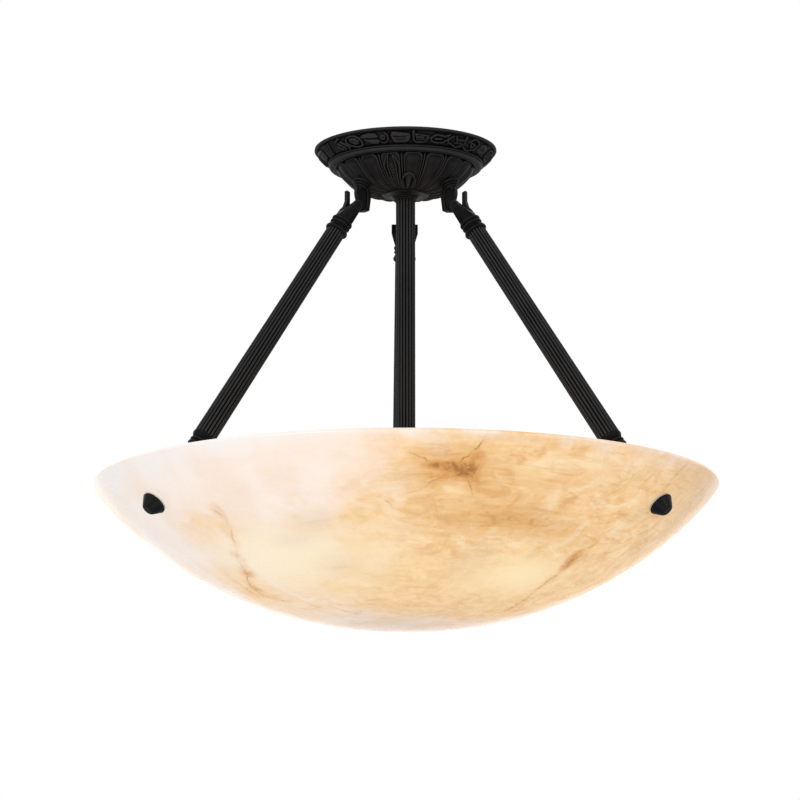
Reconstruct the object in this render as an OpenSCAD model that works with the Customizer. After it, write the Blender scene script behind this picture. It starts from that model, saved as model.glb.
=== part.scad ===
// Semi-flush ceiling light: an alabaster bowl hangs on three reeded rods from
// hooks under a gadrooned canopy, and a reeded stem carries the lamps.
// The origin is in the ceiling plane on the light's own axis. +Z is up, and
// -Y is the front, between the left and the right rod.

/* [Bowl] */
// Outer diameter of the bowl at its rim
bowl_d = 600; // [580:5:620]
// Depth of the bowl, from the rim to the bottom
bowl_depth = 138; // [128:1:150]
// Thickness of the alabaster
bowl_wall = 9; // [7:0.5:10]
// Drop from the ceiling to the rim
rim_drop = 332; // [322:1:400]
// Rounding of the rim's outer edge
rim_round = 3; // [1:0.5:4]
// Distance from the rim's outer edge in to the holes in the wall
wall_hole_inset = 32; // [30:1:45]
// Diameter of the holes in the wall
wall_hole_d = 9.2; // [8.8:0.1:12]

/* [Canopy] */
// Diameter of the canopy at the ceiling
canopy_d = 178; // [168:1:190]
// Height of the canopy
canopy_h = 45; // [44:0.5:50]
// Thickness of the casting
canopy_wall = 1.8; // [1.4:0.1:2.4]
// Number of gadroons
lobe_count = 18; // [12:6:24]
// Depth of the valleys between the gadroons
lobe_depth = 2.4; // [1:0.2:3]
// Drop of the frieze's lower edge
frieze_drop = 14.6; // [13:0.2:16]
// Diameter of the hole that the hub closes
hub_hole_d = 40; // [34:1:46]
// Overlap of the hub under the canopy
hub_overlap = 2; // [1.5:0.5:2.5]
// Thickness of the hub
hub_t = 1.4; // [1:0.2:2]

/* [Hooks] */
// Distance from the canopy's edge in to the studs of the hooks
hook_inset = 41; // [40:0.5:43]
// Distance from the stud of a hook out to its cross pin
pin_out = 12.5; // [11:0.5:14]
// Drop from the ceiling to the cross pins
pin_drop = 65; // [64:0.1:70]
// Diameter of the cross pins
pin_d = 6; // [5:0.5:6]
// Thickness of a hook
hook_web = 5; // [4:0.5:6]
// Width of the bar around the bight of a hook
hook_bar = 5.5; // [4.5:0.5:6]
// Thickness of the upright tip of a hook
hook_tip_w = 3.2; // [2.6:0.2:4]
// Width of the rib along the inner edge of a hook
hook_rib_w = 8.6; // [7:0.2:9.4]
// Diameter of the barrel that passes through the canopy
barrel_d = 17.5; // [16:0.5:18]
// Diameter of the stud of a hook
stud_d = 6; // [5:1:8]

/* [Rods] */
// Diameter of a rod tube at its top
rod_top_d = 18.7; // [18:0.1:19.4]
// Diameter of a rod tube at its bottom
rod_bottom_d = 21.5; // [20:0.1:22]
// Number of reeds around a rod tube and around the stem
reed_count = 18; // [12:2:24]
// Depth of the grooves between the reeds
reed_depth = 1; // [0.4:0.1:1.2]
// Bore of a rod tube
rod_bore_d = 10; // [8:0.5:11]
// Diameter of the tie rod in a rod tube
tie_rod_d = 6; // [5:1:7]
// Diameter of the collars on the rod tubes
collar_d = 22.4; // [21.6:0.2:24]
// Length of the collars on the rod tubes
collar_length = 14.5; // [13:0.5:16]
// Distance from the cross pin to the top collar
top_neck = 18; // [17:0.5:24]
// Distance from the lower pin to the bottom collar
bottom_neck = 31.5; // [28:0.5:36]
// Width of the fork that hangs on the hook
top_fork_w = 26; // [24:0.5:28]
// Width of the slot in that fork
top_slot_w = 13; // [12:0.5:14]
// Width of the fork that holds the eye bolt
bottom_fork_w = 14.5; // [14:0.5:16]

/* [Clamps] */
// Distance from the outside of the wall to the lower pin
pivot_standoff = 36.6; // [35:0.2:40]
// Diameter of the ring of an eye bolt
eye_d = 18; // [16:0.5:18.5]
// Thickness of the ring of an eye bolt
eye_t = 6; // [5:0.5:6]
// Clearance around the pin in the ring of an eye bolt
eye_play = 0.5; // [0.4:0.1:0.8]
// Diameter of the shank of an eye bolt
bolt_d = 8; // [6:1:8]
// Diameter of the gaskets on the wall
gasket_d = 23; // [20:0.5:24]
// Thickness of the gaskets and the washers
washer_t = 1.5; // [1:0.1:1.8]
// Diameter of a knob at its base
knob_d = 24; // [22:0.5:26]
// Height of a knob
knob_h = 10.5; // [10:0.5:14]

/* [Stem and lamps] */
// Diameter of the threaded pipe
pipe_d = 10; // [9:0.5:11]
// Bore of the threaded pipe
pipe_bore_d = 7; // [5:0.5:7.5]
// Diameter of the reeded stem
stem_d = 18.8; // [18:0.1:20]
// Diameter of the collar under the hub
stem_collar_d = 25; // [23:0.5:28]
// Height of the collar under the hub
stem_collar_h = 7; // [5:0.5:9]
// Distance from the rim of the bowl down to the lower end of the stem
stem_below_rim = 20; // [15:1:24]
// Distance from the rim of the bowl down to the lamps' axes
lamp_below_rim = 44; // [42:1:48]
// Diameter of the lamp cluster
cluster_d = 54; // [50:1:56]
// Height of the lamp cluster
cluster_h = 32; // [30:1:34]
// Diameter of a lampholder
holder_d = 38; // [34:1:38]
// Diameter of the glass of a bulb
bulb_d = 60; // [50:1:62]
// Length of the glass of a bulb
bulb_length = 82; // [76:1:90]

/* [Crossbar] */
// Length of the crossbar
bar_length = 114; // [112:1:130]
// Width of the crossbar
bar_w = 20; // [18:1:24]
// Thickness of the crossbar
bar_t = 3; // [2:0.5:4]
// Distance between the two screw slots
slot_spacing = 88.9; // [84:0.1:89]
// Length of a screw slot
slot_length = 18; // [10:1:18]
// Width of a screw slot
slot_w = 5; // [4:0.5:6]

/* [Fits] */
// Gap between a piece and the piece that it turns or slides on
running_gap = 0.3; // [0.25:0.05:0.4]
// Radial clearance of a bore around its bolt, pin or pipe
bore_gap = 0.05; // [0.03:0.01:0.1]
// Radial clearance of a hole that a barrel passes through
pass_gap = 0.3; // [0.2:0.1:0.6]

/* [Hidden] */
BACK = 90;
LEFT = 210;
RIGHT = 330;
STATIONS = [BACK, LEFT, RIGHT];
LAMPS = STATIONS;
WIRE_PLACES = [for (station = STATIONS) station - 60];

IRON = [0.07, 0.07, 0.075];
STEEL = [0.62, 0.63, 0.65];
ZINC = [0.72, 0.70, 0.62];
BRASS = [0.78, 0.62, 0.32];
ALABASTER = [0.95, 0.87, 0.74];
GLASS = [0.93, 0.95, 0.97];
FELT = [0.80, 0.80, 0.78];
PORCELAIN = [0.94, 0.93, 0.90];
GROUND = [0.13, 0.45, 0.20];

// Bowl: the outer profile is a rounded power curve
bowl_r = bowl_d / 2;
bowl_fullness = 2.21;
bowl_edge = 0.883;
bowl_steps = 24;
bowl_curve_h = bowl_depth - rim_round;
function bowl_z(r) = -rim_drop - rim_round
    - bowl_curve_h * pow(1 - pow(r / bowl_r, bowl_fullness), bowl_edge);
function bowl_slope(r) = atan(bowl_curve_h * bowl_edge * bowl_fullness / bowl_r
    * pow(r / bowl_r, bowl_fullness - 1)
    * pow(1 - pow(r / bowl_r, bowl_fullness), bowl_edge - 1));
function bowl_r_at(i) = bowl_r * sin(90 * i / bowl_steps);
function bowl_inner(r) = [r - bowl_wall * sin(bowl_slope(r)), bowl_z(r) + bowl_wall * cos(bowl_slope(r))];
wall_hole_place = bowl_r - wall_hole_inset;
wall_z = bowl_z(wall_hole_place);
wall_slope = bowl_slope(wall_hole_place);

// Places of the hooks and their cross pins under the canopy
canopy_r = canopy_d / 2;
hook_place = canopy_r - hook_inset;
pin_place = hook_place + pin_out;

// Rods: each runs from its cross pin to its lower pin
low_pin_place = wall_hole_place - pivot_standoff * sin(wall_slope);
low_pin_z = wall_z + pivot_standoff * cos(wall_slope);
rod_reach = norm([low_pin_place - pin_place, low_pin_z + pin_drop]);
rod_tilt = atan2(low_pin_place - pin_place, -pin_drop - low_pin_z);
tube_top = top_neck + collar_length;
tube_bottom = rod_reach - bottom_neck - collar_length;
tie_grip = 10;
neck_inset = 4.2;
neck_lap = 0.7;
reed_steps = 4;

// Forks and hooks
bight_r = pin_d / 2 + running_gap;
hook_r = bight_r + hook_bar;
top_cheek_r = 5.2;
hook_room = 3.2;
top_slot_r = hook_r + hook_room;
bottom_cheek_r = 7.5;
fork_play = 0.6;
bottom_slot_w = eye_t + 2 * fork_play;
eye_room = 1.5;
bottom_slot_r = eye_d / 2 + eye_room;
collar_edge = 0.7;
collar_groove = 1.6;
collar_lip = 0.5;
collar_bead = 0.9;
hook_tip_h = 15;
hook_tip_cut = 1.4;
hook_nut_h = 4.5;
hook_nut_room = 2;
ring_steps = [0, 2.9, 6.1];
ring_h = 2;
shank_in = 6;
shank_out = 5.5;
rib_in = 3.6;
throat_up = 4.5;
heel_in = 4.9;
heel_down = 2.2;
foot_out = 3;
foot_down = 3.4;

// Clamps
eye_hole_d = pin_d + 2 * eye_play;
inside_curve_gap = 0.5;
outside_curve_gap = 0.3;
inner_seat = bowl_wall + inside_curve_gap;
bolt_beyond_wall = 8.5;
eye_lap = 0.8;
nut_h = 5.4;
knob_start = washer_t + outside_curve_gap + running_gap;
knob_bore_gap = 0.15;
knob_rim_h = 1.6;
knob_rim_step = 0.8;
knob_tip_h = 0.8;
knob_tip_share = 0.53;

// Crossbar
ground_place = 22;
ground_d = 4;
ground_head_d = 8;
ground_head_h = 2.5;
block_length = 22;
block_w = 14;
block_h = 11;
block_place = -22;
pole_spacing = 6.5;
pole_d = 3.4;
locknut_h = 5;

// Canopy
column_count = lobe_count * 6;
lobe_turn = 5.9;
lip_h = 2.5;
lip_out = 1;
frieze_in = 13.5;
frieze_r = canopy_r - frieze_in;
frieze_bulge = 0.6;
bead_h = 4;
bead_in = 3.5;
gadroon_in = 20.2;
gadroon_r = canopy_r - gadroon_in;
cove_h = 0.9;
cove_w = 1.6;
gadroon_z = -frieze_drop - bead_h - cove_h;
hub_seat_w = 3;
hub_seat_r = hub_hole_d / 2 + hub_seat_w;
gadroon_w = gadroon_r - hub_seat_r;
gadroon_h = canopy_h + gadroon_z;
gadroon_power = 2.45;
gadroon_steps = 10;
gadroon_start = 0.12;
gadroon_end = 0.15;
inner_places = [0.9, 0.62, 0.38, 0.2];
hub_r = hub_hole_d / 2 + hub_overlap;
hub_gap = 0.1;
hub_z = -canopy_h - hub_gap;
hub_cone_h = 1;
hub_boss_d = 24;
plate_t = 3;
plate_above_hub = 17;
plate_z = -canopy_h + plate_above_hub;
plate_edge = 5;
barrel_z = -canopy_h + 4;
shank_top = barrel_z - 2 * ring_h;
plate_r = hook_place + plate_edge;
plate_nut_h = 6;
wire_hole_place = plate_r * 0.55;
wire_hole_d = 10;

// Stem and lamps
stem_top_z = hub_z - hub_t - hub_cone_h;
stem_bottom_z = -rim_drop - stem_below_rim;
lamp_z = -rim_drop - lamp_below_rim;
cluster_top_z = lamp_z + cluster_h / 2;
cluster_bottom_z = lamp_z - cluster_h / 2;
cluster_wall = 1.5;
cover_t = 2;
finial_h = 8;
finial_r = 12;
finial_cap = 1.5;
pipe_top_z = -0.5;
pipe_bottom_z = cluster_bottom_z - finial_h + 2;
holder_neck_d = 16;
holder_neck_length = 7;
holder_gap = 3;
holder_start = cluster_d / 2 + holder_gap;
holder_length = 50;
socket_d = 27.6;
socket_depth = 36;
holder_floor = holder_start + holder_length - socket_depth;
bulb_cap_d = 25.2;
shell_t = 0.5;
contact_h = 1.6;
contact_d = 8;
bulb_cap_start = holder_floor + 4;
bulb_cap_length = holder_length + holder_start - bulb_cap_start - 4;
bulb_glass_start = bulb_cap_start + bulb_cap_length;
bulb_neck_length = 7;
glass_t = 1;

// Local frame on a stud of a hook, +X outward and +Z up
module at_hook(station) {
    rotate([0, 0, station]) translate([hook_place, 0, 0]) children();
}

// Local frame on a cross pin, +Z down along the rod and Y along the pin
module at_rod(station) {
    rotate([0, 0, station]) translate([pin_place, 0, -pin_drop])
        rotate([0, 180 - rod_tilt, 0]) children();
}

// Local frame on the outside of the wall, +Z along the outward normal
module at_wall(station) {
    rotate([0, 0, station]) translate([wall_hole_place, 0, wall_z])
        rotate([0, 180 - wall_slope, 0]) children();
}

// Local frame on a lamp, +Z outward along the lamp's axis
module at_lamp(lamp) {
    rotate([0, 0, lamp]) translate([0, 0, lamp_z]) rotate([0, 90, 0]) children();
}

// A round bar along Y, centred
module cross_bar(d, width) {
    rotate([90, 0, 0]) cylinder(d = d, h = width, center = true, $fn = 48);
}

// A ring around Z
module ring(outer_d, inner_d, height) {
    difference() {
        cylinder(d = outer_d, h = height, $fn = 72);
        translate([0, 0, -1]) cylinder(d = inner_d, h = height + 2, $fn = 48);
    }
}

// A hexagon nut around Z with its bore
module hex_nut(bore_d, height) {
    difference() {
        cylinder(d = bore_d * 1.9, h = height, $fn = 6);
        translate([0, 0, -1]) cylinder(d = bore_d + 2 * bore_gap, h = height + 2, $fn = 48);
    }
}

// Outline of a reeded tube: round reeds with sharp valleys
module reeded_outline(d) {
    n = reed_count * reed_steps;
    polygon([for (i = [0 : n - 1])
        let (a = 360 * i / n, r = d / 2 - reed_depth * (1 - abs(sin(a * reed_count / 2))))
        [r * cos(a), r * sin(a)]]);
}

// The bar that screws to the ceiling box, with two screw slots
module crossbar() {
    color(ZINC)
    difference() {
        translate([-bar_length / 2, -bar_w / 2, -bar_t]) cube([bar_length, bar_w, bar_t]);
        translate([0, 0, -bar_t - 1]) cylinder(d = pipe_d + 2 * bore_gap, h = bar_t + 2, $fn = 48);
        for (side = [-1, 1]) translate([side * slot_spacing / 2, 0, -bar_t - 1]) screw_slot();
        translate([ground_place, 0, -bar_t - 1])
            cylinder(d = ground_d + 2 * bore_gap, h = bar_t + 2, $fn = 32);
    }
}

// One screw slot, cut right through
module screw_slot() {
    straight = slot_length - slot_w;
    translate([-straight / 2, -slot_w / 2, 0]) cube([straight, slot_w, bar_t + 2]);
    for (end = [-1, 1]) translate([end * straight / 2, 0, 0]) cylinder(d = slot_w, h = bar_t + 2, $fn = 32);
}

// The green ground screw, its head under the bar
module ground_screw() {
    color(GROUND)
    translate([ground_place, 0, -bar_t - ground_head_h]) {
        cylinder(d = ground_head_d, h = ground_head_h, $fn = 48);
        cylinder(d = ground_d, h = bar_t + ground_head_h, $fn = 32);
    }
}

// Three-pole terminal block under the bar, wire entries along Y
module terminal_block() {
    color(PORCELAIN)
    translate([block_place, 0, -bar_t])
    difference() {
        translate([-block_length / 2, -block_w / 2, -block_h]) cube([block_length, block_w, block_h]);
        for (pole = [-1, 0, 1])
            translate([pole * pole_spacing, 0, -block_h / 2]) cross_bar(pole_d, block_w + 2);
    }
}

// Locknut of the pipe under the bar
module crossbar_locknut() {
    color(BRASS) translate([0, 0, -bar_t - locknut_h]) hex_nut(pipe_d, locknut_h);
}

// Threaded pipe from the bar down to the finial nut
module stem_pipe() {
    color(STEEL)
    translate([0, 0, pipe_bottom_z]) ring(pipe_d, pipe_bore_d, pipe_top_z - pipe_bottom_z);
}

// A place on the gadroons, as a share of the way from their heads to the hub
function gadroon_tilt(s) = atan2(gadroon_w, gadroon_h * gadroon_power * pow(1 - s, gadroon_power - 1));
function gadroon(s, inset) = [
    gadroon_r - gadroon_w * s - inset * cos(gadroon_tilt(s)),
    gadroon_z - gadroon_h * (1 - pow(1 - s, gadroon_power)) + inset * sin(gadroon_tilt(s))];
function gadroon_weight(s) = min(1, s / gadroon_start, (1 - s) / gadroon_end);
function gadroon_share(i) = pow(i / gadroon_steps, 1.25);

// Profile of the canopy as [radius, height, weight of the gadroons, tilt of
// their surface], first down the outside, then up the inside
canopy_rows = concat(
    [[canopy_r, 0, 0, 0], [canopy_r, -lip_h * 0.6, 0, 0], [canopy_r - lip_out, -lip_h, 0, 0]],
    [[(canopy_r - lip_out + frieze_r) / 2 + frieze_bulge, -(lip_h + frieze_drop) / 2, 0, 0],
     [frieze_r, -frieze_drop, 0, 0]],
    [[frieze_r + bead_in * 0.1, -frieze_drop - bead_h * 0.3, 0, 0],
     [frieze_r - bead_in * 0.2, -frieze_drop - bead_h * 0.8, 0, 0],
     [frieze_r - bead_in, -frieze_drop - bead_h, 0, 0],
     [gadroon_r + cove_w, -frieze_drop - bead_h - cove_h / 2, 0, 0]],
    [for (i = [0 : gadroon_steps]) let (s = gadroon_share(i), p = gadroon(s, 0))
        [p[0], p[1], gadroon_weight(s), gadroon_tilt(s)]],
    [[hub_hole_d / 2, -canopy_h, 0, 0], [hub_hole_d / 2, -canopy_h + canopy_wall, 0, 0]],
    [for (s = inner_places) let (p = gadroon(s, lobe_depth + canopy_wall)) [p[0], p[1], 0, 0]],
    [[gadroon_r - cove_w, gadroon_z + canopy_wall, 0, 0],
     [frieze_r - bead_in - 0.4, -frieze_drop - bead_h + canopy_wall, 0, 0],
     [frieze_r - 1, -frieze_drop + canopy_wall, 0, 0],
     [canopy_r - lip_out - canopy_wall, -lip_h + canopy_wall, 0, 0],
     [canopy_r - lip_out - canopy_wall, 0, 0, 0]]);
function canopy_point(row, column) =
    let (a = 360 * column / column_count,
        valley = lobe_depth * row[2] * (1 - abs(sin(a * lobe_count / 2))),
        r = row[0] - valley * cos(row[3]))
    [r * cos(a + lobe_turn), r * sin(a + lobe_turn), row[1] + valley * sin(row[3])];

// Cast canopy: lip, frieze, bead, cove and gadroons, open in the middle
module canopy() {
    rows = len(canopy_rows);
    points = [for (row = canopy_rows) for (c = [0 : column_count - 1]) canopy_point(row, c)];
    faces = [for (i = [0 : rows - 1]) for (c = [0 : column_count - 1])
        let (here = i * column_count + c,
            side = i * column_count + (c + 1) % column_count,
            below = ((i + 1) % rows) * column_count + c,
            below_side = ((i + 1) % rows) * column_count + (c + 1) % column_count)
        each [[here, side, below_side], [here, below_side, below]]];
    color(IRON)
    difference() {
        polyhedron(points = points, faces = faces, convexity = 6);
        for (station = STATIONS) at_hook(station)
            translate([0, 0, -canopy_h - 5]) cylinder(d = barrel_d + 2 * pass_gap, h = canopy_h, $fn = 48);
    }
}

// Steel plate inside the canopy that the hooks bolt to
module load_plate() {
    color(ZINC)
    translate([0, 0, plate_z])
    difference() {
        cylinder(r = plate_r, h = plate_t, $fn = 96);
        translate([0, 0, -1]) cylinder(d = pipe_d + 2 * bore_gap, h = plate_t + 2, $fn = 48);
        for (station = STATIONS) at_hook(station)
            translate([0, 0, -1]) cylinder(d = stud_d + 2 * pass_gap, h = plate_t + 2, $fn = 32);
        for (wire = WIRE_PLACES) rotate([0, 0, wire])
            translate([wire_hole_place, 0, -1]) cylinder(d = wire_hole_d, h = plate_t + 2, $fn = 32);
    }
}

// Nut of the pipe on the load plate
module load_plate_nut() {
    color(BRASS) translate([0, 0, plate_z + plate_t]) hex_nut(pipe_d, plate_nut_h);
}

// Plain plate in the middle of the canopy, its boss carries the load plate
module canopy_hub() {
    color(IRON)
    difference() {
        union() {
            translate([0, 0, hub_z - hub_t]) cylinder(r = hub_r, h = hub_t, $fn = 96);
            translate([0, 0, stem_top_z])
                cylinder(r1 = stem_collar_d / 2 + 0.8, r2 = hub_r * 0.7, h = hub_cone_h, $fn = 96);
            translate([0, 0, hub_z - hub_t]) cylinder(d = hub_boss_d, h = plate_z - hub_z + hub_t, $fn = 72);
        }
        translate([0, 0, stem_top_z - 1]) cylinder(d = pipe_d + 2 * bore_gap, h = canopy_h, $fn = 48);
    }
}

// Outline of a hook in its radial plane, from the light's axis: a shank under
// the rings, the bight around the cross pin and an upright tip cut aslant
module hook_outline() {
    throat_in = pin_place - bight_r;
    tip_in = pin_place + bight_r;
    tip_out = tip_in + hook_tip_w;
    difference() {
        union() {
            intersection() {
                translate([pin_place, -pin_drop]) circle(r = hook_r, $fn = 64);
                translate([throat_in, -pin_drop - hook_r]) square([2 * hook_r, hook_r]);
            }
            polygon([[hook_place - shank_in, shank_top + 1], [hook_place + shank_out, shank_top + 1],
                [hook_place + shank_out, -pin_drop + throat_up], [throat_in, -pin_drop],
                [pin_place, -pin_drop - hook_r], [hook_place + foot_out, -pin_drop - foot_down],
                [hook_place - heel_in, -pin_drop - heel_down]]);
            polygon([[tip_in, -pin_drop], [pin_place + hook_r, -pin_drop], [tip_out, -pin_drop + hook_bar],
                [tip_out, -pin_drop + hook_tip_h], [tip_in, -pin_drop + hook_tip_h - hook_tip_cut]]);
        }
        translate([pin_place, -pin_drop]) circle(r = bight_r, $fn = 48);
    }
}

// Outline of the rib along the inner edge of a hook, wider than its web
module hook_rib_outline() {
    inner = hook_place - shank_in;
    heel = hook_place - heel_in;
    polygon([[inner, shank_top + 1], [inner + rib_in, shank_top + 1], [heel + rib_in, -pin_drop],
        [hook_place + foot_out, -pin_drop - foot_down], [heel, -pin_drop - heel_down]]);
}

// Hook with its three rings, barrel and stud
module hook(station) {
    color(IRON) {
        rotate([0, 0, station]) rotate([90, 0, 0]) {
            linear_extrude(height = hook_web, center = true) hook_outline();
            linear_extrude(height = hook_rib_w, center = true) hook_rib_outline();
        }
        at_hook(station) {
            translate([0, 0, barrel_z]) cylinder(d = barrel_d, h = plate_z - barrel_z, $fn = 64);
            for (i = [1, 2])
                translate([0, 0, barrel_z - i * ring_h])
                    cylinder(d = barrel_d - ring_steps[i], h = ring_h + 1, $fn = 64);
            translate([0, 0, plate_z - 1])
                cylinder(d = stud_d, h = plate_t + hook_nut_h + hook_nut_room, $fn = 32);
        }
    }
}

// Nuts that pull the hooks up against the load plate
module hook_nuts() {
    color(STEEL)
    for (station = STATIONS) at_hook(station)
        translate([0, 0, plate_z + plate_t]) hex_nut(stud_d, hook_nut_h);
}

// Ring under the hub that covers the upper end of the stem
module stem_top_collar() {
    color(IRON)
    translate([0, 0, stem_top_z])
    rotate_extrude($fn = 96) {
        inner = pipe_d / 2 + bore_gap;
        outer = stem_collar_d / 2;
        groove = stem_collar_h * 0.17;
        polygon([[inner, 0], [outer, 0], [outer, -stem_collar_h * 0.4],
            [outer - groove, -stem_collar_h * 0.55], [outer - groove / 2, -stem_collar_h * 0.75],
            [outer - 2 * groove, -stem_collar_h], [inner, -stem_collar_h]]);
    }
}

// Reeded tube around the pipe
module stem_sleeve() {
    top = stem_top_z - stem_collar_h;
    color(IRON)
    translate([0, 0, stem_bottom_z])
    difference() {
        linear_extrude(height = top - stem_bottom_z) reeded_outline(stem_d);
        translate([0, 0, -1]) cylinder(d = pipe_d + 2 * pass_gap, h = top - stem_bottom_z + 2, $fn = 48);
    }
}

// Collar between the stem and the lamp cluster
module stem_bottom_collar() {
    height = stem_bottom_z - cluster_top_z - cover_t;
    color(IRON)
    translate([0, 0, cluster_top_z + cover_t]) ring(stem_collar_d, pipe_d + 2 * bore_gap, height);
}

// Lid of the lamp cluster
module cluster_cover() {
    color(IRON) translate([0, 0, cluster_top_z]) ring(cluster_d + 2, pipe_d + 2 * bore_gap, cover_t);
}

// Wiring cup of the lamp cluster, with a round hole for each lampholder
module cluster_body() {
    color(IRON)
    difference() {
        translate([0, 0, cluster_bottom_z]) cylinder(d = cluster_d, h = cluster_h, $fn = 96);
        translate([0, 0, cluster_bottom_z + cluster_wall])
            cylinder(d = cluster_d - 2 * cluster_wall, h = cluster_h, $fn = 96);
        translate([0, 0, cluster_bottom_z - 1]) cylinder(d = pipe_d + 2 * bore_gap, h = 4, $fn = 48);
        for (lamp = LAMPS) at_lamp(lamp)
            translate([0, 0, cluster_d / 4])
                cylinder(d = holder_neck_d + 2 * bore_gap, h = cluster_d / 2, $fn = 48);
    }
}

// Nut that closes the cluster from below
module cluster_finial_nut() {
    color(IRON)
    translate([0, 0, cluster_bottom_z])
    rotate_extrude($fn = 64) {
        inner = pipe_d / 2 + bore_gap;
        polygon([[inner, 0], [finial_r, 0], [finial_r * 0.92, -finial_h * 0.5],
            [finial_r * 0.67, -finial_h * 0.85], [0, -finial_h], [0, -finial_h + finial_cap],
            [inner, -finial_h + finial_cap]]);
    }
}

// Lampholder: a neck in the cluster's wall and a deep round socket
module lampholder(lamp) {
    color(PORCELAIN)
    at_lamp(lamp)
    difference() {
        union() {
            translate([0, 0, holder_start]) cylinder(d = holder_d, h = holder_length, $fn = 72);
            translate([0, 0, holder_start - holder_neck_length])
                cylinder(d = holder_neck_d, h = holder_neck_length + 1, $fn = 48);
        }
        translate([0, 0, holder_floor]) cylinder(d = socket_d, h = socket_depth + 1, $fn = 64);
    }
}

// Threaded shells that line the sockets
module screw_shells() {
    color(BRASS)
    for (lamp = LAMPS) at_lamp(lamp)
        translate([0, 0, holder_floor + 2])
            ring(socket_d - 0.4, socket_d - 0.4 - 2 * shell_t, socket_depth - 6);
}

// Contacts in the floors of the sockets
module center_contacts() {
    color(BRASS)
    for (lamp = LAMPS) at_lamp(lamp) translate([0, 0, holder_floor])
        cylinder(d = contact_d, h = contact_h, $fn = 32);
}

// Profile of a collar along Z: three rounded rings and a groove
module collar_solid() {
    rotate_extrude($fn = 96) {
        outer = collar_d / 2;
        groove = outer - collar_groove;
        lip = outer - collar_lip;
        bead = outer - collar_bead;
        polygon([[0, 0], [groove, 0], [lip, collar_length * 0.08], [lip, collar_length * 0.22],
            [groove, collar_length * 0.3], [groove, collar_length * 0.37], [bead, collar_length * 0.43],
            [bead, collar_length * 0.58], [groove, collar_length * 0.64], [outer, collar_length * 0.72],
            [outer, collar_length - 0.9], [outer - collar_edge, collar_length], [0, collar_length]]);
    }
}

// Upper fitting of a rod: a fork that hangs on the hook by its pin, a neck
// and a collar over the tube
module top_fitting(station) {
    color(IRON)
    at_rod(station)
    difference() {
        union() {
            hull() {
                translate([0, 0, top_neck]) cylinder(d = collar_d - neck_inset, h = neck_lap, $fn = 32);
                cross_bar(2 * top_cheek_r, top_fork_w);
            }
            translate([0, 0, top_neck]) collar_solid();
        }
        cross_bar(2 * top_slot_r, top_slot_w);
        cross_bar(pin_d + 2 * bore_gap, 2 * top_fork_w);
        translate([0, 0, tube_top - tie_grip])
            cylinder(d = tie_rod_d + 2 * bore_gap, h = tie_grip + 1, $fn = 48);
    }
}

// Pin across the upper fork, it lies in the bight of the hook
module top_pin(station) {
    color(STEEL) at_rod(station) cross_bar(pin_d, top_fork_w);
}

// Reeded tube, a little wider at its lower end
module rod_tube(station) {
    height = tube_bottom - tube_top;
    color(IRON)
    at_rod(station) translate([0, 0, tube_top])
    difference() {
        linear_extrude(height = height, scale = rod_bottom_d / rod_top_d) reeded_outline(rod_top_d);
        translate([0, 0, -1]) cylinder(d = rod_bore_d, h = height + 2, $fn = 48);
    }
}

// Threaded rod that ties the two fittings together through the tube
module tie_rod(station) {
    start = tube_top - tie_grip;
    color(STEEL)
    at_rod(station) translate([0, 0, start])
        cylinder(d = tie_rod_d, h = tube_bottom + tie_grip - start, $fn = 32);
}

// Lower fitting of a rod: a collar and a fork around the eye bolt
module bottom_fitting(station) {
    color(IRON)
    at_rod(station) translate([0, 0, rod_reach])
    difference() {
        union() {
            hull() {
                translate([0, 0, -bottom_neck - neck_lap])
                    cylinder(d = collar_d - neck_inset, h = neck_lap, $fn = 32);
                cross_bar(2 * bottom_cheek_r, bottom_fork_w);
            }
            translate([0, 0, -bottom_neck]) mirror([0, 0, 1]) collar_solid();
        }
        cross_bar(2 * bottom_slot_r, bottom_slot_w);
        translate([-bottom_slot_r, -bottom_slot_w / 2, 0])
            cube([2 * bottom_slot_r, bottom_slot_w, bottom_slot_r]);
        cross_bar(pin_d + 2 * bore_gap, 2 * bottom_fork_w);
        translate([0, 0, -bottom_neck - collar_length - 1])
            cylinder(d = tie_rod_d + 2 * bore_gap, h = tie_grip + 1, $fn = 48);
    }
}

// Pin across the lower fork
module bottom_pin(station) {
    color(STEEL) at_rod(station) translate([0, 0, rod_reach]) cross_bar(pin_d, bottom_fork_w);
}

// Alabaster bowl with three holes in its wall
module bowl() {
    outside = [for (i = [0 : bowl_steps - 1]) let (r = bowl_r_at(i)) [r, bowl_z(r)]];
    edge = [for (a = [0 : 22.5 : 90])
        [bowl_r - rim_round + rim_round * cos(a), -rim_drop - rim_round + rim_round * sin(a)]];
    inside = [for (i = [bowl_steps - 1 : -1 : 0]) let (p = bowl_inner(bowl_r_at(i)))
        if (p[1] < -rim_drop - 0.5) p];
    color(ALABASTER)
    difference() {
        rotate_extrude($fn = 144)
            polygon(concat(outside, edge, [[bowl_r - bowl_wall, -rim_drop]], inside));
        for (station = STATIONS) at_wall(station)
            translate([0, 0, -2 * bowl_wall]) cylinder(d = wall_hole_d, h = 3 * bowl_wall, $fn = 48);
    }
}

// Eye bolts that pass through the wall
module eye_bolts() {
    shank_start = -pivot_standoff + eye_d / 2 - eye_lap;
    color(STEEL)
    for (station = STATIONS) at_wall(station) {
        translate([0, 0, shank_start]) cylinder(d = bolt_d, h = bolt_beyond_wall - shank_start, $fn = 48);
        translate([0, 0, -pivot_standoff]) difference() {
            cross_bar(eye_d, eye_t);
            cross_bar(eye_hole_d, 2 * eye_t);
        }
    }
}

// Gaskets on the inside of the wall
module bowl_inner_gaskets() {
    color(FELT)
    for (station = STATIONS) at_wall(station)
        translate([0, 0, -inner_seat - washer_t]) ring(gasket_d, bolt_d + 2 * pass_gap, washer_t);
}

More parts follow.
